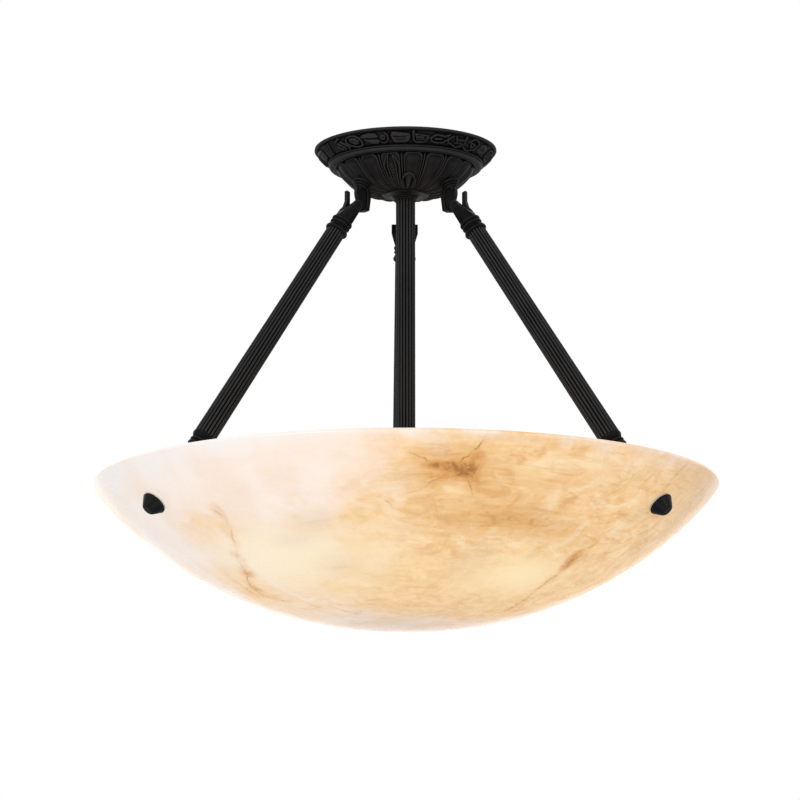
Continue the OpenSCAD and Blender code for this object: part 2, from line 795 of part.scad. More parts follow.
// Steel washers on the inner gaskets
module bowl_inner_washers() {
    color(STEEL)
    for (station = STATIONS) at_wall(station)
        translate([0, 0, -inner_seat - 2 * washer_t]) ring(gasket_d - 3, bolt_d + 2 * pass_gap, washer_t);
}

// Nuts of the eye bolts inside the bowl
module bowl_inner_nuts() {
    color(STEEL)
    for (station = STATIONS) at_wall(station)
        translate([0, 0, -inner_seat - 2 * washer_t - nut_h]) hex_nut(bolt_d, nut_h);
}

// Gaskets between the knobs and the outside of the wall
module bowl_outer_gaskets() {
    color(FELT)
    for (station = STATIONS) at_wall(station)
        translate([0, 0, outside_curve_gap]) ring(gasket_d, bolt_d + 2 * pass_gap, washer_t);
}

// Knob on the end of an eye bolt: a short rim and a domed cone
module knob(station) {
    bore = bolt_d / 2 + knob_bore_gap;
    base_r = knob_d / 2;
    tip_r = knob_d * knob_tip_share / 2;
    cone_r = base_r - knob_rim_step;
    cone_start = knob_start + knob_rim_h + knob_rim_step;
    cone_end = knob_start + knob_h - knob_tip_h;
    color(IRON)
    at_wall(station)
    rotate_extrude($fn = 96)
        polygon(concat(
            [[bore, knob_start], [base_r, knob_start], [base_r, knob_start + knob_rim_h]],
            [for (t = [0 : 0.25 : 1])
                [cone_r - (cone_r - tip_r) * pow(t, 0.93), cone_start + (cone_end - cone_start) * t]],
            [[tip_r - knob_tip_h, cone_end + knob_tip_h], [0, cone_end + knob_tip_h]],
            [[0, bolt_beyond_wall + 1], [bore, bolt_beyond_wall + 1]]));
}

// Glass of a bulb: a neck on the cap, a flare and a round end
module bulb_glass(lamp) {
    r = bulb_d / 2;
    neck_r = bulb_cap_d / 2 + 0.1;
    ball = bulb_glass_start + bulb_length - r;
    neck_end = bulb_glass_start + bulb_neck_length;
    outside = concat([[neck_r, bulb_glass_start], [neck_r, neck_end]],
        [for (t = [0.2 : 0.2 : 0.8])
            [neck_r + (r - neck_r) * (1 - cos(180 * t)) / 2, neck_end + (ball - neck_end) * t]],
        [for (a = [0 : 15 : 90]) [r * cos(a), ball + r * sin(a)]]);
    color(GLASS)
    at_lamp(lamp)
    rotate_extrude($fn = 72)
        difference() {
            polygon(concat([[0, bulb_glass_start]], outside));
            polygon(concat([[0, bulb_glass_start - 1]],
                [for (p = outside) let (near_end = p[0] < r * 0.9 && p[1] > ball)
                    [max(0, p[0] - glass_t), p[1] - (near_end ? glass_t : 0)]],
                [[0, bulb_glass_start + bulb_length - glass_t]]));
        }
}

// Screw cap of a bulb with its contact
module bulb_cap(lamp) {
    color(STEEL)
    at_lamp(lamp)
    rotate_extrude($fn = 64)
        polygon([[0, bulb_cap_start - 2], [contact_d / 2, bulb_cap_start - 2],
            [contact_d / 2 + 1, bulb_cap_start], [bulb_cap_d / 2 - 3.6, bulb_cap_start + 1],
            [bulb_cap_d / 2, bulb_cap_start + 4], [bulb_cap_d / 2, bulb_glass_start],
            [0, bulb_glass_start]]);
}

crossbar();
ground_screw();
terminal_block();
crossbar_locknut();
stem_pipe();
canopy();
load_plate();
load_plate_nut();
canopy_hub();
hook(BACK);  // hook_back
hook(LEFT);  // hook_left
hook(RIGHT);  // hook_right
hook_nuts();
stem_top_collar();
stem_sleeve();
stem_bottom_collar();
cluster_cover();
cluster_body();
cluster_finial_nut();
lampholder(LAMPS[0]);  // lampholder_1
lampholder(LAMPS[1]);  // lampholder_2
lampholder(LAMPS[2]);  // lampholder_3
screw_shells();
center_contacts();
top_fitting(BACK);  // top_fitting_back
top_fitting(LEFT);  // top_fitting_left
top_fitting(RIGHT);  // top_fitting_right
top_pin(BACK);  // top_pin_back
top_pin(LEFT);  // top_pin_left
top_pin(RIGHT);  // top_pin_right
rod_tube(BACK);  // rod_tube_back
rod_tube(LEFT);  // rod_tube_left
rod_tube(RIGHT);  // rod_tube_right
tie_rod(BACK);  // tie_rod_back
tie_rod(LEFT);  // tie_rod_left
tie_rod(RIGHT);  // tie_rod_right
bottom_fitting(BACK);  // bottom_fitting_back
bottom_fitting(LEFT);  // bottom_fitting_left
bottom_fitting(RIGHT);  // bottom_fitting_right
bottom_pin(BACK);  // bottom_pin_back
bottom_pin(LEFT);  // bottom_pin_left
bottom_pin(RIGHT);  // bottom_pin_right
bowl();
eye_bolts();
bowl_inner_gaskets();
bowl_inner_washers();
bowl_inner_nuts();
bowl_outer_gaskets();
knob(BACK);  // knob_back
knob(LEFT);  // knob_left
knob(RIGHT);  // knob_right
bulb_glass(LAMPS[0]);  // bulb_glass_1
bulb_glass(LAMPS[1]);  // bulb_glass_2
bulb_glass(LAMPS[2]);  // bulb_glass_3
bulb_cap(LAMPS[0]);  // bulb_cap_1
bulb_cap(LAMPS[1]);  // bulb_cap_2
bulb_cap(LAMPS[2]);  // bulb_cap_3
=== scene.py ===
"""Looks of the semi-flush ceiling light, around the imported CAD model.

Lengths are in millimetres until a mesh is made, and in metres in Blender.
"""
from math import atan2, cos, hypot, pi, radians, sin, tau

import bmesh
import bpy
import numpy as np
from mathutils import Matrix, Vector

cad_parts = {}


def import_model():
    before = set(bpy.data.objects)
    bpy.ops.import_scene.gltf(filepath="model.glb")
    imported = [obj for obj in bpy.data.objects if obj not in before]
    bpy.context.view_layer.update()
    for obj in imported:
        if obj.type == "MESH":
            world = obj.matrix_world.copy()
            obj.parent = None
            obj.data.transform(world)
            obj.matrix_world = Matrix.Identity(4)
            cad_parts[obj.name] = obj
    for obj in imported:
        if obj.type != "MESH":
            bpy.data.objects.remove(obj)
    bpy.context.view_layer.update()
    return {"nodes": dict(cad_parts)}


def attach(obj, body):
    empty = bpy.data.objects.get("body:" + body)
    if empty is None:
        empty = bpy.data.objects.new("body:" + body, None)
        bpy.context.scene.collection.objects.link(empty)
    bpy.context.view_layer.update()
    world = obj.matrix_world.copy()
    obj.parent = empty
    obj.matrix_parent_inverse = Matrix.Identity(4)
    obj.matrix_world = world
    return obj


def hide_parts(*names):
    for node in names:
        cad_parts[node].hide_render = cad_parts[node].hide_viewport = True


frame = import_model()

MM = 0.001
STATIONS = {"back": 90, "left": 210, "right": 330}
LAMPS = {"1": 90, "2": 210, "3": 330}

# Camera, fitted to the outline of the bowl and the lip of the canopy
CAMERA_PLACE = (-0.048, -3.4364, -0.922)
CAMERA_PITCH = 11.08
CAMERA_HEADING = 0.7103
CAMERA_LENS = 163.3
SENSOR = 36
MIDDLE = (0, 0, -0.3)
FLOOR_Z = -1.45
FLOOR_R = 14

# Bowl
BOWL_R = 300
RIM_Z = -332
RIM_ROUND = 3
BOWL_CURVE_H = 135
BOWL_FULLNESS = 2.21
BOWL_EDGE = 0.883
BOWL_WALL = 9
BOWL_COLUMNS = 640
HOLE_D = 9.2
HOLE_PLACE = 268

# Rods
PIN_PLACE = 60.5
PIN_DROP = 65
PIVOT_STANDOFF = 36.6
TOP_NECK = 18
BOTTOM_NECK = 31.5
TOP_WIDTH = 26
BOTTOM_WIDTH = 14.5
COLLAR_LENGTH = 14.5
COLLAR_R = 11.2
REEDS = 18
REED_SAMPLES = 14
REED_DEPTH = 1.45

# Canopy and hooks
HUB_Z = -45.1
STEM_TOP = -47.5
PLATE_Z = -28
HOOK_PLACE = 48
RING_TILT = radians(20)
RING_PLACE = (49, -40.3)
FRIEZE_TOP = np.array([87.5, -2.95])
FRIEZE_LOW = np.array([75.5, -14.5])
GADROON_R = 68.8
GADROON_Z = -19.5
GADROON_H = 25.5
GADROON_POWER = 2.45
HUB_SEAT_R = 23
HUB_HOLE_R = 20
HUB_R = 22
LOBES = 18
LOBE_TURN = 5.9
COLUMNS = 864
INNER_SHARE = 4
FRIEZE_ROWS = 27
GADROON_ROWS = 56
PATTERN_PERIOD = 180
GROUND = -0.75
VALLEY = 2.4

# Stem and lamps
PIPE_HOLE_R = 5.05
STEM_BOTTOM = -352
LAMP_Z = -376
HOLDER_START = 30
HOLDER_END = 80
HOLDER_FLOOR = 44
GLASS_START = 76


# Places

def bowl_z(r):
    return RIM_Z - RIM_ROUND - BOWL_CURVE_H * (1 - (r / BOWL_R) ** BOWL_FULLNESS) ** BOWL_EDGE


def bowl_slope(r):
    rise = BOWL_CURVE_H * BOWL_EDGE * BOWL_FULLNESS / BOWL_R * (r / BOWL_R) ** (BOWL_FULLNESS - 1)
    return np.arctan(rise * (1 - (r / BOWL_R) ** BOWL_FULLNESS) ** (BOWL_EDGE - 1))


WALL_Z = bowl_z(HOLE_PLACE)
WALL_SLOPE = float(bowl_slope(HOLE_PLACE))
LOW_PIN_PLACE = HOLE_PLACE - PIVOT_STANDOFF * sin(WALL_SLOPE)
LOW_PIN_Z = WALL_Z + PIVOT_STANDOFF * cos(WALL_SLOPE)
ROD_REACH = hypot(LOW_PIN_PLACE - PIN_PLACE, LOW_PIN_Z + PIN_DROP)
ROD_TILT = atan2(LOW_PIN_PLACE - PIN_PLACE, -PIN_DROP - LOW_PIN_Z)
ALONG_Y = Matrix.Rotation(pi / 2, 4, "X")


def at(station, radius, z, turn=0):
    """Frame at a radius and height, turned about its own tangent like the CAD's."""
    return Matrix.Rotation(radians(station), 4, "Z") @ shift(radius, z) @ Matrix.Rotation(turn, 4, "Y")


def shift(x, z):
    return Matrix.Translation((x, 0, z))


def at_wall(station):
    return at(station, HOLE_PLACE, WALL_Z, pi - WALL_SLOPE)


# Meshes: a part is a pair of points in mm and faces

def moved(part, matrix):
    points, faces = part
    m = np.array(matrix)
    return points @ m[:3, :3].T + m[:3, 3], faces


def joined(parts):
    faces, start = [], 0
    for points, part_faces in parts:
        faces += [[i + start for i in face] for face in part_faces]
        start += len(points)
    return np.vstack([points for points, _ in parts]), faces


def turns(count):
    return np.arange(count) * tau / count


def level(angles, r, z):
    """Points at a radius, or one for each angle, all at one height."""
    return np.stack([r * np.cos(angles), r * np.sin(angles), np.full(len(angles), z)], 1)


def levels(profile, columns):
    """A level for each (r, z) of a profile, or a single point where it is on the axis."""
    angles = turns(columns)
    return [np.array([[0.0, 0.0, z]]) if r < 1e-6 else level(angles, r, z) for r, z in profile]


def arc(centre, rx, ry, degrees):
    """Points of an elliptical arc."""
    return [(centre[0] + rx * cos(a), centre[1] + ry * sin(a)) for a in np.radians(degrees)]


def grid(rows, closed=False):
    """Faces between rows of points that each go once around; a row may be one point."""
    faces = []
    sizes = [len(row) for row in rows]
    starts = [(sum(sizes[:k]), n) for k, n in enumerate(sizes)]
    pairs = list(zip(starts, starts[1:])) + ([(starts[-1], starts[0])] if closed else [])
    for (a, n), (b, m) in pairs:
        for i in range(max(n, m)):
            j = (i + 1) % max(n, m)
            quad = [a + i % n, a + j % n, b + j % m, b + i % m]
            faces.append([v for k, v in enumerate(quad) if v not in quad[:k]])
    return np.vstack(rows), faces


def soften(outline, radius, steps=4):
    """Rounds the corners of a closed (r, z) outline, not those on the axis."""
    points = [np.array(p[:2], float) for p in outline]
    radii = [p[2] if len(p) > 2 else radius for p in outline]
    made = []
    for i, p in enumerate(points):
        one, two = points[i - 1] - p, points[(i + 1) % len(points)] - p
        len_one, len_two = np.linalg.norm(one), np.linalg.norm(two)
        cut = min(radii[i], 0.45 * len_one, 0.45 * len_two)
        if p[0] < 1e-6 or cut < 1e-3:
            made.append(p)
            continue
        start, end = p + one / len_one * cut, p + two / len_two * cut
        for t in np.arange(steps + 1) / steps:
            made.append((1 - t) ** 2 * start + 2 * t * (1 - t) * p + t ** 2 * end)
    return made


def lathe(outline, radius=0.4, columns=72, steps=4):
    """Turns a closed (r, z) outline around Z, its corners rounded."""
    rows = levels(soften(outline, radius, steps), columns)
    return grid(rows, closed=len(rows[0]) > 1 or len(rows[-1]) > 1)


def box_outline(r_in, r_out, low, high):
    return [(r_in, low), (r_out, low), (r_out, high), (r_in, high)]


def thread(radius, depth, pitch, start, end, columns=32, per_turn=8):
    """Screw thread between two heights, closed by plain ends."""
    angles = turns(columns)
    rows = [np.array([[0.0, 0.0, start]])]
    for z in np.linspace(start, end, max(8, int((end - start) / pitch * per_turn))):
        fade = min(1, (z - start) / pitch, (end - z) / pitch)
        wave = 0.5 + 0.5 * np.cos(tau * z / pitch - angles)
        rows.append(level(angles, radius - depth * (1 - fade * wave), z))
    return grid(rows + [np.array([[0.0, 0.0, end]])])


def mesh_of(name, part):
    points, faces = part
    mesh = bpy.data.meshes.new(name)
    mesh.from_pydata((np.asarray(points) * MM).tolist(), [], faces)
    mesh.update()
    work = bmesh.new()
    work.from_mesh(mesh)
    bmesh.ops.recalc_face_normals(work, faces=work.faces)
    work.to_mesh(mesh)
    work.free()
    mesh.shade_smooth()
    return mesh


def placed(name, data):
    obj = bpy.data.objects.new(name, data)
    bpy.context.scene.collection.objects.link(obj)
    return obj


def assign(target, **settings):
    for key, value in settings.items():
        setattr(target, key, value)
    return target


def modify(obj, kind, **settings):
    assign(obj.modifiers.new(kind.lower(), kind), **settings)


def read(mesh, key):
    values = np.empty(len(mesh.vertices) * 3, np.float32)
    mesh.vertices.foreach_get(key, values)
    return values.reshape(-1, 3)


RELIEF_PASSES = {"black_cast": 26, "black_forged": 40, "black_reeded": 14, "black_turned": 16,
    "black_pin": 10}


def mark_relief(mesh, passes):
    """Height of each point over its smoothed surroundings in mm: painted shade in the recesses, rubbed wear
    with a painted highlight on the ridges.
    """
    count = len(mesh.vertices)
    points = read(mesh, "co").astype(float) / MM
    edges = np.empty(len(mesh.edges) * 2, np.int64)
    mesh.edges.foreach_get("vertices", edges)
    a, b = edges[::2], edges[1::2]
    weight = 1 / np.maximum(((points[a] - points[b]) ** 2).sum(1), 0.01)
    total = np.bincount(a, weight, count) + np.bincount(b, weight, count)
    eased = points.copy()
    for _ in range(passes):
        near = [np.bincount(a, weight * eased[b, k], count) + np.bincount(b, weight * eased[a, k], count)
            for k in range(3)]
        eased = 0.4 * eased + 0.6 * np.stack(near, 1) / total[:, None]
    height = ((points - eased) * read(mesh, "normal")).sum(1)
    made = mesh.attributes.new("relief", "FLOAT", "POINT")
    made.data.foreach_set("value", height.astype(np.float32))


def piece(name, part, body, replaced, paint, matrix=Matrix.Identity(4)):
    """A shown piece: its mesh in the row frame, its body, the node it stands for."""
    if isinstance(part, bpy.types.Mesh):
        mesh = part.copy()
        mesh.name = name
        to_metres = matrix.copy()
        to_metres.translation = matrix.translation * MM
        mesh.transform(to_metres)
    else:
        mesh = mesh_of(name, moved(part, matrix))
    obj = placed(name, mesh)
    mesh.materials.append(paint.material)
    if paint.slot in RELIEF_PASSES:
        mark_relief(mesh, RELIEF_PASSES[paint.slot])
    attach(obj, body)
    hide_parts(replaced)
    return obj


# Materials

class Nodes:
    """Short names for the nodes of one tree."""

    def __init__(self, tree):
        self.tree = tree

    def add(self, kind, sockets=None, **settings):
        made = assign(self.tree.nodes.new("ShaderNode" + kind), **settings)
        for key, value in (sockets or {}).items():
            if isinstance(value, bpy.types.NodeSocket):
                self.tree.links.new(value, made.inputs[key])
            else:
                made.inputs[key].default_value = value
        return made

    def place(self, turn=(0, 0, 0), stretch=(1, 1, 1)):
        place = self.add("TexCoord").outputs["Object"]
        return self.add("Mapping", {"Vector": place, "Rotation": turn, "Scale": stretch}).outputs["Vector"]

    def noise(self, place, scale, detail=4, rough=0.5, distortion=0):
        return self.add("TexNoise", {"Vector": place, "Scale": scale, "Detail": detail, "Roughness": rough,
            "Distortion": distortion}).outputs["Fac"]

    def span(self, value, low, high, to_low=0, to_high=1, kind="SMOOTHSTEP"):
        return self.add("MapRange", {"Value": value, "From Min": low, "From Max": high, "To Min": to_low,
            "To Max": to_high}, interpolation_type=kind).outputs["Result"]

    def maths(self, operation, one, two=0, clamp=False):
        return self.add("Math", {0: one, 1: two}, operation=operation, use_clamp=clamp).outputs[0]

    def times(self, one, two, clamp=False):
        return self.maths("MULTIPLY", one, two, clamp)

    def plus(self, one, two):
        return self.maths("ADD", one, two)

    def centred(self, value, reach):
        """A noise around zero, times a number or a field."""
        return self.times(self.maths("SUBTRACT", value, 0.5), reach)

    def mixed(self, factor, one, two, blend="MIX"):
        return self.add("Mix", {0: factor, 6: one, 7: two}, data_type="RGBA", blend_type=blend).outputs[2]

    def attribute(self, name, output="Fac"):
        return self.add("Attribute", attribute_name=name).outputs[output]

    def three(self, name):
        return list(self.add("SeparateXYZ", {"Vector": self.attribute(name, "Vector")}).outputs)


class Paint(Nodes):
    """A material with its Principled shader."""

    def __init__(self, slot):
        self.slot = slot
        self.material = bpy.data.materials.new(slot)
        self.material.use_nodes = True
        super().__init__(self.material.node_tree)
        self.shader = self.tree.nodes["Principled BSDF"]

    def set(self, name, value):
        if isinstance(value, bpy.types.NodeSocket):
            self.tree.links.new(value, self.shader.inputs[name])
        else:
            self.shader.inputs[name].default_value = value

    def done(self, base, rough, height, strength, distance, extra="Specular IOR Level", value=0.5):
        bump = self.add("Bump", {"Height": height, "Strength": strength, "Distance": distance})
        for socket in (("Base Color", base), ("Roughness", rough), ("Normal", bump.outputs["Normal"]),
                (extra, value)):
            self.set(*socket)
        return self


def colour(red, green, blue):
    """Linear colour from display values of 0 to 255."""
    return tuple(v / 12.92 if v <= 0.04045 else ((v + 0.055) / 1.055) ** 2.4
        for v in (red / 255, green / 255, blue / 255)) + (1,)


def opaque(rgb, gain=1):
    return tuple(c * gain for c in rgb) + (1,)


def black_metal(name, recess_shade, flat, ridge, rough, grain, grain_depth, specular):
    """Satin black paint over metal: painted shade in its recesses, its ridges paler from rubbed wear and a
    painted highlight.
    """
    m = Paint(name)
    place = m.place()
    relief = m.attribute("relief")
    cloud = m.noise(place, 70, 5, 0.6)
    fine = m.noise(place, grain, 6, 0.65)
    worn_and_highlit = m.plus(relief, m.centred(cloud, 0.12))
    shown = m.mixed(m.span(cloud, 0.3, 0.7), opaque(flat, 0.8), opaque(flat, 1.25))
    # Painted shade darkens the recesses; the ridges are paler, partly rubbed wear and partly a painted
    # highlight
    shown = m.mixed(m.span(relief, -0.03, -0.3), shown, opaque(recess_shade))
    shown = m.mixed(m.span(worn_and_highlit, 0.03, 0.3), shown, opaque(ridge))
    dull = m.span(fine, 0.3, 0.7, rough * 0.85, rough * 1.2, "LINEAR")
    dull = m.plus(dull, m.span(relief, -0.03, -0.3, 0, 0.35))
    return m.done(shown, dull, fine, 0.35, grain_depth, value=specular)


def bare_metal(name, base, tint, rough, stretch=(1, 1, 1)):
    """Plated or turned metal with fine marks and dull patches."""
    m = Paint(name)
    fine = m.noise(m.place(stretch=stretch), 500, 5, 0.6)
    patch = m.noise(m.place(), 45, 4, 0.55)
    shown = m.mixed(m.span(patch, 0.35, 0.7), opaque(base), opaque(tint))
    dull = m.span(fine, 0.3, 0.7, rough * 0.75, rough * 1.3, "LINEAR")
    return m.done(shown, dull, fine, 0.2, 0.00005, "Metallic", 1)


def plain(name, base, tint, rough, grain=300, depth=0.00004, specular=0.5):
    """Paint, porcelain or rubber: a small drift of tone and a fine surface."""
    m = Paint(name)
    place = m.place()
    fine = m.noise(place, grain, 5, 0.6)
    patch = m.noise(place, 70, 4, 0.5)
    shown = m.mixed(m.span(patch, 0.35, 0.65), opaque(base), opaque(tint))
    dull = m.span(fine, 0.3, 0.7, rough * 0.85, rough * 1.2, "LINEAR")
    return m.done(shown, dull, fine, 0.3, depth, value=specular)


def alabaster():
    """Lit alabaster: fields made on the mesh, clouded, streaked and veined here."""
    m = Paint("alabaster")
    warmth, glow, brown = m.add("SeparateColor", {"Color": m.attribute("fields", "Color")}).outputs
    shade = m.attribute("fields", "Alpha")
    cool_and_rim_highlight, curdled, smudge = m.three("more")

    place = m.place()
    broad = m.noise(place, 9, 4, 0.55, 1)
    cloud = m.noise(place, 16, 5, 0.55, 0.5)
    curd = m.noise(m.place((0, radians(-30), 0), (1, 1, 1.7)), 34, 6, 0.58, 0.8)
    mottle = m.noise(place, 80, 8, 0.66, 0.5)
    speck = m.noise(place, 330, 5, 0.7)
    fibre = m.noise(m.place((0, radians(-38), 0), (1, 1, 7)), 26, 7, 0.66, 0.9)
    strata = m.noise(m.place((0, radians(4), 0), (1, 1, 14)), 18, 5, 0.6, 0.3)

    def tint(mask, *rgb):
        nonlocal body
        body = m.mixed(mask, body, colour(*rgb))

    # White stone, cooler at its ends with a painted highlight along the rim, and peach with a ragged edge
    body = m.mixed(m.span(cloud, 0.35, 0.62), colour(252, 237, 226), colour(249, 229, 213))
    tint(m.times(cool_and_rim_highlight, m.span(cloud, 0.3, 0.6, 1, 0.6)), 242, 239, 238)
    peach = m.mixed(m.span(mottle, 0.36, 0.64), colour(253, 215, 162), colour(242, 197, 139))
    edge = m.times(m.span(warmth, 0, 0.35), m.span(warmth, 1, 0.6))
    unsteady = m.times(m.span(broad, 0.3, 0.7, -0.45, 0.45), edge)
    warm = m.plus(warmth, m.plus(unsteady, m.centred(curd, m.times(edge, 1.3))))
    body = m.mixed(m.span(warm, 0, 1, kind="LINEAR"), body, peach)

    # Curds, tan stains, streaks and the glow of the lamps
    wild = m.times(curdled, m.span(warm, 0.2, 0.7))
    tint(m.times(wild, m.span(curd, 0.52, 0.66, 0, 0.55)), 218, 160, 94)
    tint(m.times(wild, m.span(curd, 0.48, 0.36, 0, 0.75)), 254, 229, 188)
    tan = m.mixed(m.span(fibre, 0.38, 0.66), colour(226, 170, 100), colour(198, 138, 70))
    body = m.mixed(m.times(brown, m.span(mottle, 0.25, 0.62, 1.2, 0.5), True), body, tan)
    tint(m.times(m.span(fibre, 0.5, 0.7, 0, 0.55), warmth), 221, 165, 100)
    tint(m.times(m.span(fibre, 0.42, 0.26, 0, 0.42), warmth), 255, 228, 182)
    lamplight = m.mixed(m.span(warmth, 0.2, 0.9), colour(255, 238, 208), colour(255, 231, 184))
    body = m.mixed(m.times(glow, m.span(mottle, 0.2, 0.6, 0.72, 1)), body, lamplight)

    # Layers, specks and shade
    tint(m.times(m.span(strata, 0.54, 0.7, 0, 0.3), m.span(shade, 0, 0.5)), 205, 162, 118)
    tint(m.times(m.span(speck, 0.6, 0.74, 0, 0.2), m.span(warmth, 0.1, 0.7)), 206, 154, 98)
    tint(m.times(shade, 0.85), 208, 179, 153)

    # Veins that waver, each a broken line with a halo, and dark smudges
    wobble = m.centred(m.noise(place, 120, 5, 0.65), 6)
    away = m.plus(wobble, m.centred(m.noise(place, 34, 3, 0.5), 9))
    for distance, strength in zip(m.three("vein_near"), m.three("vein_force")):
        gap = m.maths("ABSOLUTE", m.plus(distance, away))
        line = m.times(m.span(gap, 0.1, 1.3, 0.85, 0), strength)
        tint(m.times(m.span(gap, 0.5, 8, 0.34, 0), strength), 226, 168, 92)
        tint(m.times(line, m.span(mottle, 0.4, 0.56, 0.08, 1)), 158, 100, 50)
    stain = m.times(smudge, m.span(mottle, 0.66, 0.4, 0.45, 1))
    tint(m.span(stain, 0.05, 0.5, 0, 0.8), 216, 154, 84)
    tint(m.span(stain, 0.42, 0.85, 0, 0.8), 160, 102, 50)

    # The stone's colour is also its emission: a painted glow that stands in for the lamps' light through
    # the stone
    m.set("Emission Color", body)
    m.set("Emission Strength", 0.67)
    base = m.mixed(1, body, (0.4, 0.4, 0.4, 1), "MULTIPLY")
    return m.done(base, m.span(mottle, 0.3, 0.7, 0.22, 0.32, "LINEAR"), mottle, 0.25, 0.0003, value=0.4)


def lit_glass():
    """Frosted glass of a bulb that is on."""
    m = Paint("bulb_glass")
    frost = m.noise(m.place(), 240, 4, 0.6)
    tone = m.mixed(m.span(frost, 0.35, 0.65), colour(255, 240, 214), colour(255, 232, 198))
    m.set("Emission Color", tone)
    m.set("Emission Strength", 1.1)
    return m.done(tone, 0.35, frost, 0.2, 0.00005)


# Colour of the painted shade in the recesses of the black metal
RECESS_SHADE_BLACK = (0.0008, 0.0008, 0.0009)
CAST = black_metal("black_cast", RECESS_SHADE_BLACK, (0.0105, 0.0107, 0.0118), (0.03, 0.031, 0.034),
                   0.42, 1100, 0.00007, 0.04)
FORGED = black_metal("black_forged", RECESS_SHADE_BLACK, (0.005, 0.005, 0.0053), (0.021, 0.021, 0.022),
                     0.4, 900, 0.00006, 0.05)
REEDED = black_metal("black_reeded", (0.0008, 0.0008, 0.0008), (0.005, 0.005, 0.0052),
                     (0.041, 0.041, 0.043), 0.4, 1300, 0.00004, 0.04)
TURNED = black_metal("black_turned", RECESS_SHADE_BLACK, (0.006, 0.006, 0.0063), (0.026, 0.026, 0.028),
                     0.38, 1300, 0.00004, 0.1)
PIN = black_metal("black_pin", (0.0015, 0.0015, 0.0016), (0.008, 0.008, 0.0084), (0.026, 0.026, 0.028),
                  0.36, 1300, 0.00003, 0.1)
ZINC = bare_metal("zinc_plate", (0.62, 0.6, 0.52), (0.7, 0.66, 0.5), 0.38, (1, 8, 1))
BRASS = bare_metal("brass_nut", (0.72, 0.55, 0.25), (0.62, 0.45, 0.19), 0.3)
SHELL = bare_metal("socket_brass", (0.74, 0.57, 0.27), (0.66, 0.48, 0.21), 0.26)
STEEL = bare_metal("steel_hardware", (0.5, 0.51, 0.53), (0.58, 0.58, 0.57), 0.34)
PIPE = bare_metal("steel_pipe", (0.55, 0.56, 0.58), (0.47, 0.48, 0.5), 0.36)
CAP = bare_metal("bulb_cap", (0.7, 0.71, 0.72), (0.62, 0.63, 0.64), 0.28)
GREEN = plain("ground_green", (0.05, 0.3, 0.1), (0.04, 0.24, 0.08), 0.35)
WHITE = plain("terminal_white", (0.84, 0.83, 0.78), (0.88, 0.87, 0.82), 0.5)
PORCELAIN = plain("porcelain", (0.84, 0.83, 0.79), (0.88, 0.87, 0.83), 0.16, 120, 0.00003)
GASKET = plain("gasket", (0.58, 0.58, 0.55), (0.5, 0.5, 0.48), 0.75, 700, 0.00008, 0.3)
ALABASTER = alabaster()
LIT_GLASS = lit_glass()


# Bowl: angles in degrees, around from the front and up from the bottom

VEINS = (
    # Left of the front, from the knob down to the lower edge
    (0, 0.45, [(-47, 58), (-45, 56), (-43.5, 54), (-45, 50), (-48, 45), (-53, 40)]),
    (0, 0.8, [(-53, 40), (-58, 36), (-64, 33), (-70, 29), (-68, 26), (-60, 24)]),
    (1, 0.4, [(-47, 22), (-44, 18), (-38, 14), (-27, 12)]),
    (2, 0.3, [(-67, 38), (-71, 32), (-76, 28)]),
    # The star right of the middle
    (0, 0.8, [(13, 86), (12.6, 79), (11, 73), (9, 69), (8, 66)]),
    (0, 0.4, [(8, 66), (6, 63.5), (3, 59.5), (-1, 58)]),
    (1, 0.75, [(-1, 74), (3, 69), (8, 66.2), (10, 64.5), (11.6, 61), (13.5, 56)]),
    (2, 0.3, [(18.5, 76), (20.3, 74.5), (21.7, 74), (23.3, 75.3), (24.8, 78)]),
    (2, 0.3, [(-5.5, 55.5), (-4.3, 54.2), (-3.3, 52.3)]),
    # Right of the front
    (1, 0.85, [(52, 41), (52.5, 37), (53.5, 33), (56, 29), (59, 26.5), (62, 23), (67, 19.5), (77, 16)]),
    (0, 0.55, [(53.5, 33), (54.8, 36), (52, 40), (50.5, 43), (52.6, 46), (52.4, 49)]),
    (2, 0.35, [(41, 63), (44.7, 68), (48.5, 75)]),
    (1, 0.3, [(43.7, 61), (45.5, 65)]),
    (2, 0.45, [(58.3, 66), (57.9, 73), (60, 85)]),
    (2, 0.3, [(62, 48), (67, 54.4), (72, 60)]),
    # The side that the photograph doesn't show
    (0, 0.6, [(104, 84), (101, 74), (97, 66), (99, 58), (94, 50), (90, 41), (93, 33)]),
    (1, 0.7, [(128, 80), (134, 72), (139, 66), (137, 58), (144, 49), (150, 42)]),
    (2, 0.4, [(139, 66), (149, 69), (158, 76)]),
    (0, 0.7, [(171, 86), (176, 77), (184, 70), (182, 61), (189, 52), (199, 46), (204, 38)]),
    (1, 0.5, [(214, 79), (220, 71), (228, 66), (231, 57)]),
    (2, 0.6, [(243, 83), (247, 72), (256, 64), (253, 54), (261, 45), (272, 38)]),
    (1, 0.3, [(90, 63), (82, 67), (77, 74)]),
    (2, 0.4, [(188, 34), (170, 30), (160, 22)]),
)
